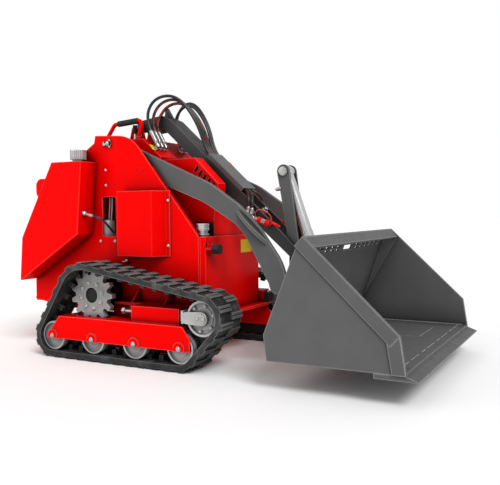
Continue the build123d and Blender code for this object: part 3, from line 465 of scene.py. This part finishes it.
def hex_bolt(form, place, size):
    """A washer, a hexagon head with a chamfered top, and the end of its thread."""
    lathe(form, place, [(1.35 * size, 0), (1.35 * size, 0.22 * size), (1.25 * size, 0.28 * size)])
    nut(form, place, size, low=0.28 * size, high=0.82 * size, narrow=0.14 * size, rise=0.13 * size)
    thread = [(0.5 * size, 0.95 * size), (0.5 * size, 1.2 * size), (0.4 * size, 1.28 * size)]
    lathe(form, place, thread, steps=12)


def dome_bolt(form, place, size):
    """A low round-headed bolt on a washer."""
    rim = [(1.3 * size, 0), (1.3 * size, 0.2 * size), (size, 0.24 * size)]
    dome = [(0.95 * size, 0.5 * size), (0.7 * size, 0.75 * size), (0.3 * size, 0.88 * size)]
    lathe(form, place, rim + dome, steps=16)


def slab(form, low, high):
    """A box between two corners."""
    corners = ((low.x, low.y), (high.x, low.y), (high.x, high.y), (low.x, high.y))
    loft(form, [[(x, y, z) for x, y in corners] for z in (low.z, high.z)])


def prism(form, outline, low, high):
    """A plate from an outline of (x, z) points, between two y, in millimetres."""
    loft(form, [[at(x, y, z) for x, z in outline] for y in (low, high)])


def tube(form, line, radius, steps=14, stripe=()):
    """A round tube along a line of points, with a broken stripe on the sides asked for."""
    loops = []
    across = Vector((0, -1, 0))
    for i, spot in enumerate(line):
        way = (line[min(i + 1, len(line) - 1)] - line[max(i - 1, 0)]).normalized()
        across = (across - way * across.dot(way)).normalized()
        up = way.cross(across)
        angles = [2 * pi * k / steps for k in range(steps)]
        loops.append([spot + (across * cos(a) + up * sin(a)) * radius for a in angles])
    for i, row in enumerate(loft(form, loops)):
        for k in stripe:
            row[k].material_index = int(i % STRIPE_PITCH < STRIPE_DASH)


def ring(form, place, radius, thickness, steps=28):
    """A round ring about the z axis of its place."""
    line = circle(place, radius, 0, steps)
    tube(form, line + line[:1], thickness, steps=10)


def centreline(name, route):
    """Points along a smooth spline that has the route as its control points."""
    curve = bpy.data.curves.new(name, "CURVE")
    curve.dimensions = "3D"
    curve.resolution_u = 14
    spline = curve.splines.new("NURBS")
    spline.points.add(len(route) - 1)
    for control, spot in zip(spline.points, route):
        control.co = (*spot, 1)
    spline.order_u = 3
    spline.use_endpoint_u = True
    holder = bpy.data.objects.new(name, curve)
    mesh = bpy.data.meshes.new_from_object(holder)
    line = [vertex.co.copy() for vertex in mesh.vertices]
    bpy.data.meshes.remove(mesh)
    bpy.data.objects.remove(holder)
    bpy.data.curves.remove(curve)
    return line


# pieces from shapes

CREASE = radians(35)


def mesh_of(name, form):
    """A smooth mesh from a bmesh."""
    bmesh.ops.recalc_face_normals(form, faces=form.faces)
    mesh = bpy.data.meshes.new(name)
    form.to_mesh(mesh)
    form.free()
    for face in mesh.polygons:
        face.use_smooth = True
    return mesh


def linked(name, data):
    """A new object in the scene."""
    made = bpy.data.objects.new(name, data)
    bpy.context.scene.collection.objects.link(made)
    return made


def made_of(name, form, body, look):
    """A piece that rides on a body, smooth but for its sharp edges."""
    mesh = mesh_of(name, form)
    mesh.set_sharp_from_angle(angle=CREASE)
    made = linked(name, mesh)
    mesh.materials.append(look)
    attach(made, body)


def hose_piece(name, route, radius, stripe=()):
    """A hose along its route, with the points of its centreline."""
    line = centreline(name, route)
    form = bmesh.new()
    tube(form, line, radius, stripe=stripe)
    mesh = mesh_of(name, form)
    mesh.materials.append(HOSE)
    mesh.materials.append(STRIPE)
    made = linked(name, mesh)
    return made, line


def bolts(name, maker, spots, size):
    """Like bolts on both sides of the chassis, as one piece."""
    form = bmesh.new()
    for spot in mirrored(spots):
        maker(form, placed(spot, outward(spot)), size)
    made_of(name, form, "chassis", ZINC)


def bolt_circle(centre, radius, count, first):
    """Spots of bolts round a wheel's centre."""
    angles = [first + 2 * pi * i / count for i in range(count)]
    return [centre + side_way(angle) * radius for angle in angles]


# hoses from the console's fittings to the cover on the link
FITTING_YS = (-150, -115, -80, 80, 115)
FITTING_X, FITTING_Z = -385, 1084.25
PANEL_SLOPE = Vector((100, 0, 113)).normalized()
ELBOW = Vector((-0.5, 0, 0.87)).normalized()
FITTING_NUT = 0.022
ELBOW_LONG = 0.0623
HOSE_R = 0.008
HOSE_RISE = 105
HOSE_LANE = 21
HOSE_NEST = 17
HOSE_STRIPES = ((), (2, 3), (0, 1), (3, 4), ())


def fitting_at(y):
    """Where a fitting stands on the console's sloping front."""
    return at(FITTING_X, y, FITTING_Z)


def hose_route(number, y):
    """The route of one hose, as in the solid model."""
    lane = (number - len(FITTING_YS) // 2) * HOSE_LANE
    drop = HOSE_NEST * (number if y < 0 else len(FITTING_YS) - number)
    start = fitting_at(y) + PANEL_SLOPE * FITTING_NUT + ELBOW * ELBOW_LONG
    return [
        start,
        start + ELBOW * (HOSE_RISE - drop) * MM,
        at(-410 + drop, (4 * y + lane) / 5, 1360 - drop),
        at(-290 + drop / 2, (2 * y + 3 * lane) / 5, 1372 - drop),
        at(-185 + drop / 3, (y + 5 * lane) / 6, 1232 - drop / 2),
        at(-135.3, lane, 1066.2),
        at(-92.2, lane, 1024.4),
    ]


for number, y in enumerate(FITTING_YS):
    route = hose_route(number, y)
    hose, line = hose_piece("hose_tube_%d" % (number + 1), route, HOSE_R, HOSE_STRIPES[number])
    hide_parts("hose_%d" % (number + 1))
    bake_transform(hose)

# fittings: a hexagon nut at the foot, a collar, and a crimped sleeve on each hose
SLEEVE_R, CRIMP_R = 0.0120, 0.0112
CRIMP_FIRST, CRIMP_PITCH, CRIMPS = 0.042, 0.012, 4
SLEEVE_FOOT = [(0.0105, 0.036), (SLEEVE_R, 0.038)]
SLEEVE_END = [(0.0100, 0.093)]


def crimped_sleeve():
    """Profile of a hose's sleeve, with grooves pressed round it."""
    profile = []
    for i in range(CRIMPS):
        low = CRIMP_FIRST + CRIMP_PITCH * i
        profile += [(SLEEVE_R, low), (CRIMP_R, low + 0.002)]
        profile += [(CRIMP_R, low + 0.005), (SLEEVE_R, low + 0.007)]
    return SLEEVE_FOOT + profile + SLEEVE_END


form = bmesh.new()
for y in FITTING_YS:
    foot = fitting_at(y)
    nut(form, placed(foot, PANEL_SLOPE), radius=0.0155, low=0, high=0.009)
    elbow = placed(foot + PANEL_SLOPE * FITTING_NUT, ELBOW)
    nut(form, elbow, radius=0.0135, low=0.012, high=0.024)
    lathe(form, elbow, crimped_sleeve(), steps=20)
made_of("fitting_details", form, "chassis", ZINC)

# hoses out of the cover's front, over the link's wall to the couplers
FRONT_HOSE_R = 0.0075
FRONT_STRIPE = (0, 1)
NEAR_ROUTE = [at(55, -34, 886), at(92, -36, 860), at(120, -50, 842), at(134, -74, 816), at(136, -80, 786),
              at(136, -80, 756)]
MIDDLE_ROUTE = [at(55, -12, 886), at(98, -14, 860), at(136, -44, 840), at(154, -74, 806), at(156, -80, 776),
                at(156, -80, 748)]
FRONT_ROUTES = {
    "coupler_hose_near": NEAR_ROUTE,
    "coupler_hose_middle": MIDDLE_ROUTE,
    "coupler_hose_far": [flipped(spot) for spot in NEAR_ROUTE],
}
for name, route in FRONT_ROUTES.items():
    hose, line = hose_piece(name, route, FRONT_HOSE_R, FRONT_STRIPE)
    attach(hose, "levelling_link")

# couplers: hose ends, pipes and a screwed plug
COUPLER_AT = at(187.9, 0, 706.7)
COUPLER_WAY = Vector((0.94, 0, -0.34)).normalized()
COUPLER_Y = 0.078
COUPLER_TAIL = 0.019
PIPE_R = 0.006
SEAT_PLUG = [(0.0110, 0.017), (0.0110, 0.026), (0.0090, 0.028)]
HOSE_END = [(0.0095, 0), (0.0105, 0.002), (0.0105, 0.018), (0.0090, 0.020)]
form = bmesh.new()
for route in FRONT_ROUTES.values():
    end = route[-1]
    lathe(form, placed(end + at(0, 0, 16), DOWN), HOSE_END)
    nut(form, placed(end, DOWN), radius=0.0130, low=0, high=0.014)
    tail = COUPLER_AT - COUPLER_WAY * COUPLER_TAIL + outward(end) * COUPLER_Y
    pipe = [end, end + at(0, 0, -22), end + at(14, 0, -40), tail - COUPLER_WAY * 0.01, tail]
    tube(form, centreline("pipe", pipe), PIPE_R)
hex_seat = placed(at(172, 14, 744), (0.672, 0, 0.74))
nut(form, hex_seat, radius=0.0175, low=-0.004, high=0.014, narrow=0.0025, rise=0.003)
lathe(form, hex_seat, SEAT_PLUG)
made_of("coupler_fittings", form, "levelling_link", ZINC)

# red caps on the couplers, and a dust plug on a tether
CAP_R, CAP_END_R, CAP_GROOVE_R = 0.0170, 0.0152, 0.0158
CAP_HALVES = (0.0, 0.044)
CAP_NOSE = [(0.0100, 0.070), (0.0120, 0.074), (0.0120, 0.080), (0.0080, 0.083)]
PLUG_AT = at(268, -86, 690)
PLUG_WAY = (0.9, -0.05, -0.35)
PLUG_RIBS = [(0.0070, 0), (0.0085, 0.004), (0.0060, 0.012), (0.0085, 0.016), (0.0060, 0.024), (0.0080, 0.028)]
PLUG_TIP = [(0.0050, 0.042), (0.0035, 0.052)]
form = bmesh.new()
for side in SIDES:
    coupler = placed(COUPLER_AT + Vector((0, side * COUPLER_Y, 0)), COUPLER_WAY)
    for low in CAP_HALVES:
        lathe(form, coupler, [(CAP_END_R, low), (CAP_R, low + 0.002), (CAP_R, low + 0.010),
                              (CAP_GROOVE_R, low + 0.012), (CAP_R, low + 0.014), (CAP_R, low + 0.024),
                              (CAP_END_R, low + 0.026)])
    lathe(form, coupler, CAP_NOSE)
lathe(form, placed(PLUG_AT, PLUG_WAY), PLUG_RIBS + PLUG_TIP, steps=16)
made_of("coupler_caps", form, "levelling_link", RED)

TETHER_R = 0.0025
TETHER = [at(176, -80, 722), at(170, -84, 742), at(206, -90, 760), at(250, -92, 742), at(272, -90, 714),
          PLUG_AT]
tether, line = hose_piece("cap_tether", TETHER, TETHER_R)
tether.data.materials[0] = RED
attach(tether, "levelling_link")

# the tank's outlet: a fitting on its front, and a hose through the slot
OUTLET = at(-690, -382, 746)
OUTLET_WAY = Vector((0.93, 0.25, -0.27)).normalized()
OUTLET_TUBE = [(0.0070, 0.012), (0.0070, 0.034), (0.0085, 0.036), (0.0085, 0.056), (0.0070, 0.058)]
OUTLET_HOSE_R = 0.006
form = bmesh.new()
outlet = placed(OUTLET, OUTLET_WAY)
nut(form, outlet, radius=0.0115, low=-0.004, high=0.012)
lathe(form, outlet, OUTLET_TUBE)
made_of("tank_outlet", form, "chassis", ZINC)
OUTLET_ROUTE = [OUTLET, OUTLET + OUTLET_WAY * 0.05, OUTLET + OUTLET_WAY * 0.09, at(-588, -340, 704),
                at(-572, -312, 668), at(-566, -286, 640)]
hose, line = hose_piece("tank_hose", OUTLET_ROUTE, OUTLET_HOSE_R)
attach(hose, "chassis")

# filter and pipes behind the access slot
CANISTER = [(0.030, 0), (0.035, 0.004), (0.035, 0.098), (0.032, 0.104), (0.020, 0.108)]
SLOT_PIPE_R = 0.003
SLOT_PIPE_SHIFTS = (0, 16)
form = bmesh.new()
for side in SIDES:
    lathe(form, placed(at(-632, side * 254, 600), UP), CANISTER, steps=32)
    for shift in SLOT_PIPE_SHIFTS:
        pipe = [at(-618 + shift, side * 262, 704), at(-616 + shift, side * 262, 740),
                at(-606 + shift, side * 268, 770), at(-602 + shift, side * 270, 826)]
        tube(form, centreline("slot_pipe", pipe), SLOT_PIPE_R, steps=8)
made_of("slot_filter", form, "chassis", STEEL)

# bolts on the side plates, cover boxes, track frames, idler forks, sprockets and idlers
PLATE_BOLTS = [at(x, -PLATE_Y, z) for x, z in ((-604, 971), (-604, 891), (-645, 596), (-548, 597))]
COVER_BOLTS = [at(-201, -COVER_Y, z) for z in (806, 578)]
ROLLER_BOLTS = [on_face(x, FRAME_FACE, ROLLER_Z) for x in ROLLER_XS]
FORK_BOLTS = [on_face(x, FORK_FACE, IDLER_Z) for x in (100, 130)]
IDLER_WEB = IDLER_FACE + 0.004
SPROCKET_HUB = on_face(SPROCKET_X, SPROCKET_FACE, SPROCKET_Z)
SPROCKET_BOLTS = bolt_circle(SPROCKET_HUB, radius=0.069, count=8, first=radians(13.5))
IDLER_HUB = on_face(IDLER_X, IDLER_WEB, IDLER_Z)
IDLER_BOLTS = bolt_circle(IDLER_HUB, radius=0.061, count=6, first=0.3)
bolts("plate_bolts", hex_bolt, PLATE_BOLTS + COVER_BOLTS, size=0.0058)
bolts("roller_bolts", hex_bolt, ROLLER_BOLTS, size=0.0092)
bolts("fork_bolts", hex_bolt, FORK_BOLTS, size=0.006)
bolts("sprocket_bolts", dome_bolt, SPROCKET_BOLTS, size=0.0105)
bolts("idler_bolts", dome_bolt, IDLER_BOLTS, size=0.006)

# small holes, drawn as black discs of painted shade, and the seam below the slot, drawn dark, on each side
# plate
PLATE_HOLES = [at(x, -PLATE_Y, z) for x, z in ((-545, 893), (-422, 902), (-393, 963), (-356, 961))]
HOLE_DISC = [(0.0046, -0.001), (0.0046, 0.0004)]
SEAM_PROUD = 0.4
form = bmesh.new()
for spot in mirrored(PLATE_HOLES):
    lathe(form, placed(spot, outward(spot)), HOLE_DISC, steps=12)
for low, high in both_sides(PLATE_Y, PLATE_Y + SEAM_PROUD):
    slab(form, at(-541.5, low, 470), at(-539.5, high, 618))
made_of("plate_holes", form, "chassis", BLACK)

# an eye bolt on each side plate
EYE_SHANK = [(0.005, 0.006), (0.005, 0.014), (0.004, 0.015)]
EYE_OUT, EYE_R, EYE_THICK = 0.012, 0.014, 0.004
form = bmesh.new()
for spot in mirrored([at(-470, -PLATE_Y, 492)]):
    place = placed(spot, outward(spot))
    nut(form, place, radius=0.011, low=0, high=0.006, narrow=0.002, rise=0.001)
    lathe(form, place, EYE_SHANK)
    ring(form, Matrix.Translation(spot + outward(spot) * EYE_OUT), EYE_R, EYE_THICK)
made_of("eye_bolts", form, "chassis", ZINC)

# retaining plates on the arm pivots: a rounded triangle with a bolt through it
PIVOT_CORNERS = (180, 35, -35)
PIVOT_TURNS = range(-54, 55, 18)
PIVOT_ROUND = 0.014
PIVOT_THICK = 0.004
form = bmesh.new()
for side in SIDES:
    centre = at(-586, side * 304, 1110)
    thick = Vector((0, side * PIVOT_THICK, 0))
    inner = []
    for angle in PIVOT_CORNERS:
        corner = centre + side_way(radians(angle)) * PIVOT_ROUND
        for turn in PIVOT_TURNS:
            inner.append(corner + side_way(radians(angle + turn)) * PIVOT_ROUND)
    loft(form, [inner, [spot + thick for spot in inner]])
    hex_bolt(form, placed(centre + at(4, 0, 0) + thick, (0, side, 0)), size=0.009)
made_of("pivot_plates", form, "chassis", ZINC)

# blank labels on the front panel and on the console's slope
LABEL_THICK = 0.0006
LABEL_OUTLINE = ((-0.024, -0.024), (0.024, -0.024), (0.024, 0.020), (-0.010, 0.020))
form = bmesh.new()
slab(form, at(2, 76, 527), at(2.6, 194, 596))
label = placed(at(-395, -165, 1093.1), PANEL_SLOPE)
form.faces.new([form.verts.new(label @ Vector((x, y, LABEL_THICK))) for x, y in LABEL_OUTLINE])
made_of("blank_labels", form, "chassis", YELLOW)

# rods of the control levers, and caps on the link's pins
LEVER_ROD = [(0.010, 0), (0.010, 0.006), (0.0058, 0.007), (0.0058, 0.0355)]
PIN_CAP = [(0.022, 0), (0.022, 0.004), (0.018, 0.006), (0.018, 0.011), (0.010, 0.013)]
form = bmesh.new()
for x in (-539, -502):
    lathe(form, Matrix.Translation(at(x, -128, 1140)), LEVER_ROD, steps=16)
for side in SIDES:
    lathe(form, placed(at(-562, side * 90, 1217), (0, side, 0)), PIN_CAP)
made_of("console_chrome", form, "chassis", CHROME)

# tension bolts with their nuts
TENSION_ROD = [(0.0095, 0), (0.0095, 0.072)]
TENSION_NUT = 0.0165
form = bmesh.new()
for side in SIDES:
    bolt = placed(at(-312, side * TRACK_MIDDLE, 255), REARWARD)
    lathe(form, bolt, TENSION_ROD, steps=20)
    nut(form, bolt, TENSION_NUT, low=0, high=0.012)
    nut(form, bolt, TENSION_NUT, low=0.070, high=0.086, narrow=0.0025, rise=0.003)
made_of("tension_bolts", form, "chassis", ZINC)

# painted shade: a black sheet for the shaded recess by the filler
form = bmesh.new()
slab(form, at(-112, -184, 627), at(-10, -180, 694))
made_of("filler_recess_shade", form, "chassis", BLACK)

# pin heads and a grease fitting on the tilt lever
LEVER_PIN = [(0.023, 0), (0.023, 0.005), (0.0195, 0.006), (0.0195, 0.013), (0.012, 0.015)]
NIPPLE = [(0.006, 0.011), (0.009, 0.016), (0.009, 0.024), (0.004, 0.030)]
form = bmesh.new()
for side in SIDES:
    lathe(form, placed(at(314, side * 46, 946), (0, side, 0)), LEVER_PIN, steps=28)
nipple = placed(at(299, -40, 859), (-1, 0, -0.12))
nut(form, nipple, radius=0.011, low=-0.004, high=0.010, narrow=0.001, rise=0.001)
lathe(form, nipple, NIPPLE)
made_of("lever_pins", form, "tilt_lever", ZINC)

# bucket: the rail folded over its back, and the lower ends of its edge bands
BUCKET_CROWN = (669, 646)
BUCKET_CHEEK = (1063, 273)
BUCKET_NOSE = (1087, 125)
BUCKET_IN = 596
BAND_IN, BAND_OUT = 609, 615
RAIL = [BUCKET_CROWN, (709, 602), (704, 596), (660, 634)]
BAND_END = [BUCKET_CHEEK, BUCKET_NOSE, (1033, 125), (1012, 246), (1025, 233)]
form = bmesh.new()
prism(form, RAIL, -BUCKET_IN, BUCKET_IN)
for low, high in both_sides(BAND_IN, BAND_OUT):
    prism(form, BAND_END, low, high)
made_of("bucket_trim", form, "bucket", GREY)

# weld marks on the bucket's floor: a broken line along the edge, the sides, and a patch's border
WELD_X, WELD_Z = 1040, 135.5
WELD_FIRST, WELD_PITCH, WELDS = -560, 92, 13
WELD_LENGTHS = (40, 62, 84)
WELD_WIDE, WELD_HIGH = 5, 0.8
PATCH_REAR, PATCH_FRONT, PATCH_RIGHT, PATCH_LEFT = 790, 945, 150, 430
PATCH_Z = WELD_Z + 0.6
form = bmesh.new()
for i in range(WELDS):
    start = WELD_FIRST + WELD_PITCH * i
    end = start + WELD_LENGTHS[i % len(WELD_LENGTHS)]
    slab(form, at(WELD_X, start, WELD_Z), at(WELD_X + WELD_WIDE, end, WELD_Z + WELD_HIGH))
for low, high in both_sides(BUCKET_IN - 4, BUCKET_IN):
    slab(form, at(560, low, 135), at(1060, high, 138))
slab(form, at(PATCH_REAR, PATCH_RIGHT, WELD_Z), at(PATCH_FRONT, PATCH_RIGHT + 3, PATCH_Z))
slab(form, at(PATCH_FRONT - 4, PATCH_RIGHT, WELD_Z), at(PATCH_FRONT, PATCH_LEFT, PATCH_Z))
made_of("bucket_welds", form, "bucket", BARE)

# gussets in the bucket's upper corners
form = bmesh.new()
for side in SIDES:
    corners = [at(648, side * 532, 594), at(708, side * 597, 600), at(512, side * 597, 262)]
    loft(form, [corners, [spot + at(-4, side * 3, 0) for spot in corners]])
made_of("bucket_gussets", form, "bucket", GREY)

# running gear: painted highlight rings on the rims of the rollers and idlers, as thin bright washers
RIM_PROUD = 0.0006
form = bmesh.new()
for spot in mirrored([on_face(x, ROLLER_FACE, ROLLER_Z) for x in ROLLER_XS]):
    washer(form, placed(spot, outward(spot)), inner=0.0655, outer=0.0735, height=RIM_PROUD)
for spot in mirrored([on_face(IDLER_X, IDLER_FACE, IDLER_Z)]):
    washer(form, placed(spot, outward(spot)), inner=0.0735, outer=0.0835, height=RIM_PROUD)
made_of("rim_highlight_rings", form, "chassis", BARE)

# inner guards: black rails behind the rollers as painted shade under the machine, and red guards by the
# tensioners
GUARDS = both_sides(TRACK_MIDDLE - 80, TRACK_MIDDLE - 74)
# the black rails are painted shade under the track frames
form = bmesh.new()
for low, high in GUARDS:
    slab(form, at(-815, low, 44), at(40, high, 98))
made_of("roller_shade_rails", form, "chassis", BLACK)
form = bmesh.new()
for low, high in GUARDS:
    slab(form, at(-520, low, 213), at(-312, high, 286))
    slab(form, at(-640, low, 213), at(-520, high, 232))
made_of("tension_guards", form, "chassis", RED)

# worn pads on the track's lugs, along the same loop round the wheels as the belt, in millimetres
WHEELS = [
    (Vector((SPROCKET_X, 0, SPROCKET_Z)), 165),
    (Vector((ROLLER_XS[0], 0, ROLLER_Z)), 102),
    (Vector((ROLLER_XS[-1], 0, ROLLER_Z)), 102),
    (Vector((IDLER_X, 0, IDLER_Z)), 112),
]
LUG_COUNT = 35
LUG_TOP = 8
LUG_ROW = 45
PAD_HALF = 44
PAD_BARS = ((-15, -3), (3, 15))
PAD_LEVELS = ((0, 0), (2.2, 0.8), (3.0, 2.2))
ON_GROUND = -0.35


def straight(start, end, facing):
    """A straight run of the loop: its length, and the place and facing at a share of it."""
    return (end - start).length, lambda share: (start.lerp(end, share), facing)


def arc(hub, radius, first, sweep):
    """A run of the loop round a wheel, given as a straight one is."""

    def place(share):
        way = side_way(first + sweep * share)
        return hub + way * radius, way

    return sweep * radius, place


def loop_spans():
    """Straight runs and arcs of the track's outer face, in order round the wheels."""
    pairs = list(zip(WHEELS, WHEELS[1:] + WHEELS[:1]))
    turns = []
    for (hub, radius), (next_hub, next_radius) in pairs:
        gap = next_hub - hub
        turns.append(atan2(gap.z, gap.x) - acos((radius - next_radius) / gap.length))
    spans = []
    for i, ((hub, radius), (next_hub, next_radius)) in enumerate(pairs):
        facing = side_way(turns[i])
        spans.append(straight(hub + facing * radius, next_hub + facing * next_radius, facing))
        sweep = (turns[(i + 1) % len(turns)] - turns[i]) % (2 * pi)
        spans.append(arc(next_hub, next_radius, turns[i], sweep))
    return spans


def on_loop(spans, along):
    """A place on the loop and the way that it faces."""
    for length, place in spans:
        if along <= length:
            return place(along / length)
        along -= length
    return on_loop(spans, along)


def pad(form, middle, facing, y):
    """A low tapered pad with a groove across it, on one lug."""
    ahead = Vector((0, 1, 0)).cross(facing)
    for low, high in PAD_BARS:
        loops = []
        for rise, shrink in PAD_LEVELS:
            level = middle + facing * (LUG_TOP + rise)
            rear, front, half = low + shrink, high - shrink, PAD_HALF - shrink
            corners = ((rear, -half), (front, -half), (front, half), (rear, half))
            loops.append([(level + ahead * a + Vector((0, y + b, 0))) * MM for a, b in corners])
        loft(form, loops)


SPANS = loop_spans()
LOOP = sum(length for length, _ in SPANS)
LUG_PITCH = LOOP / LUG_COUNT
form = bmesh.new()
for row, phase in ((-1, 0), (1, LUG_PITCH / 2)):
    for i in range(LUG_COUNT):
        middle, facing = on_loop(SPANS, (phase + LUG_PITCH * i) % LOOP)
        if facing.z > ON_GROUND:
            for side in SIDES:
                pad(form, middle, facing, side * (TRACK_MIDDLE - row * LUG_ROW))
made_of("track_pads", form, "chassis", PADS)

# bands round the front filler
FILLER_BAND = [(0.0322, 0), (0.0330, 0.001), (0.0330, 0.005), (0.0322, 0.006)]
form = bmesh.new()
for low in (632, 660, 682):
    lathe(form, Matrix.Translation(at(-36, -244, low)), FILLER_BAND, steps=32)
made_of("filler_bands", form, "chassis", CAST)


# camera, floor and light


def make_camera():
    """The photograph's viewpoint."""
    lens = bpy.data.cameras.new("camera")
    lens.lens = CAMERA_LENS
    lens.sensor_width = CAMERA_SENSOR
    lens.clip_end = CAMERA_REACH
    camera = linked("camera", lens)
    azimuth = radians(CAMERA_AZIMUTH)
    down = radians(CAMERA_DOWN)
    back = Vector((sin(azimuth) * cos(down), -cos(azimuth) * cos(down), sin(down)))
    right = Vector((cos(azimuth), sin(azimuth), 0))
    up = back.cross(right)
    roll = radians(CAMERA_ROLL)
    turned_right = right * cos(roll) + up * sin(roll)
    turned_up = up * cos(roll) - right * sin(roll)
    axes = Matrix((turned_right, turned_up, back)).transposed()
    camera.matrix_world = Matrix.Translation(CAMERA_AT) @ axes.to_4x4()
    bpy.context.scene.camera = camera


def make_floor():
    """A wide pale floor."""
    mesh = bpy.data.meshes.new("floor")
    corners = ((-1, -1), (1, -1), (1, 1), (-1, 1))
    mesh.from_pydata([(x * FLOOR_REACH, y * FLOOR_REACH, 0) for x, y in corners], [], [(0, 1, 2, 3)])
    floor = linked("floor", mesh)
    mesh.materials.append(finish_of("floor", FLOOR_WHITE, 0.9, vary=0.005, relief=0.0, specular=0.1))
    floor.location.z = CAD_BOX[0].z


def sun(name, source, power, softness):
    """Even light from one direction, with soft shadows."""
    light = bpy.data.lights.new(name, "SUN")
    light.energy = power
    light.angle = radians(softness)
    linked(name, light).rotation_euler = (-Vector(source)).to_track_quat("-Z", "Y").to_euler()


def make_light():
    """White surroundings, dimmer as a light than as a backdrop, and two soft lights from above."""
    world = bpy.data.worlds.new("studio")
    bpy.context.scene.world = world
    world.use_nodes = True
    tree = world.node_tree
    backdrop = tree.nodes["Background"]
    backdrop.inputs["Color"].default_value = (1, 1, 1, 1)
    seen = tree.nodes.new("ShaderNodeLightPath").outputs["Is Camera Ray"]
    strength = tree.nodes.new("ShaderNodeMapRange")
    strength.inputs["To Min"].default_value = ROOM_LIGHT
    strength.inputs["To Max"].default_value = BACKDROP
    tree.links.new(seen, strength.inputs["Value"])
    tree.links.new(strength.outputs["Result"], backdrop.inputs["Strength"])
    sun("key", KEY_FROM, KEY_POWER, KEY_SOFTNESS)
    sun("fill", FILL_FROM, FILL_POWER, FILL_SOFTNESS)
    bpy.context.scene.view_settings.view_transform = "Standard"


make_camera()
make_floor()
make_light()
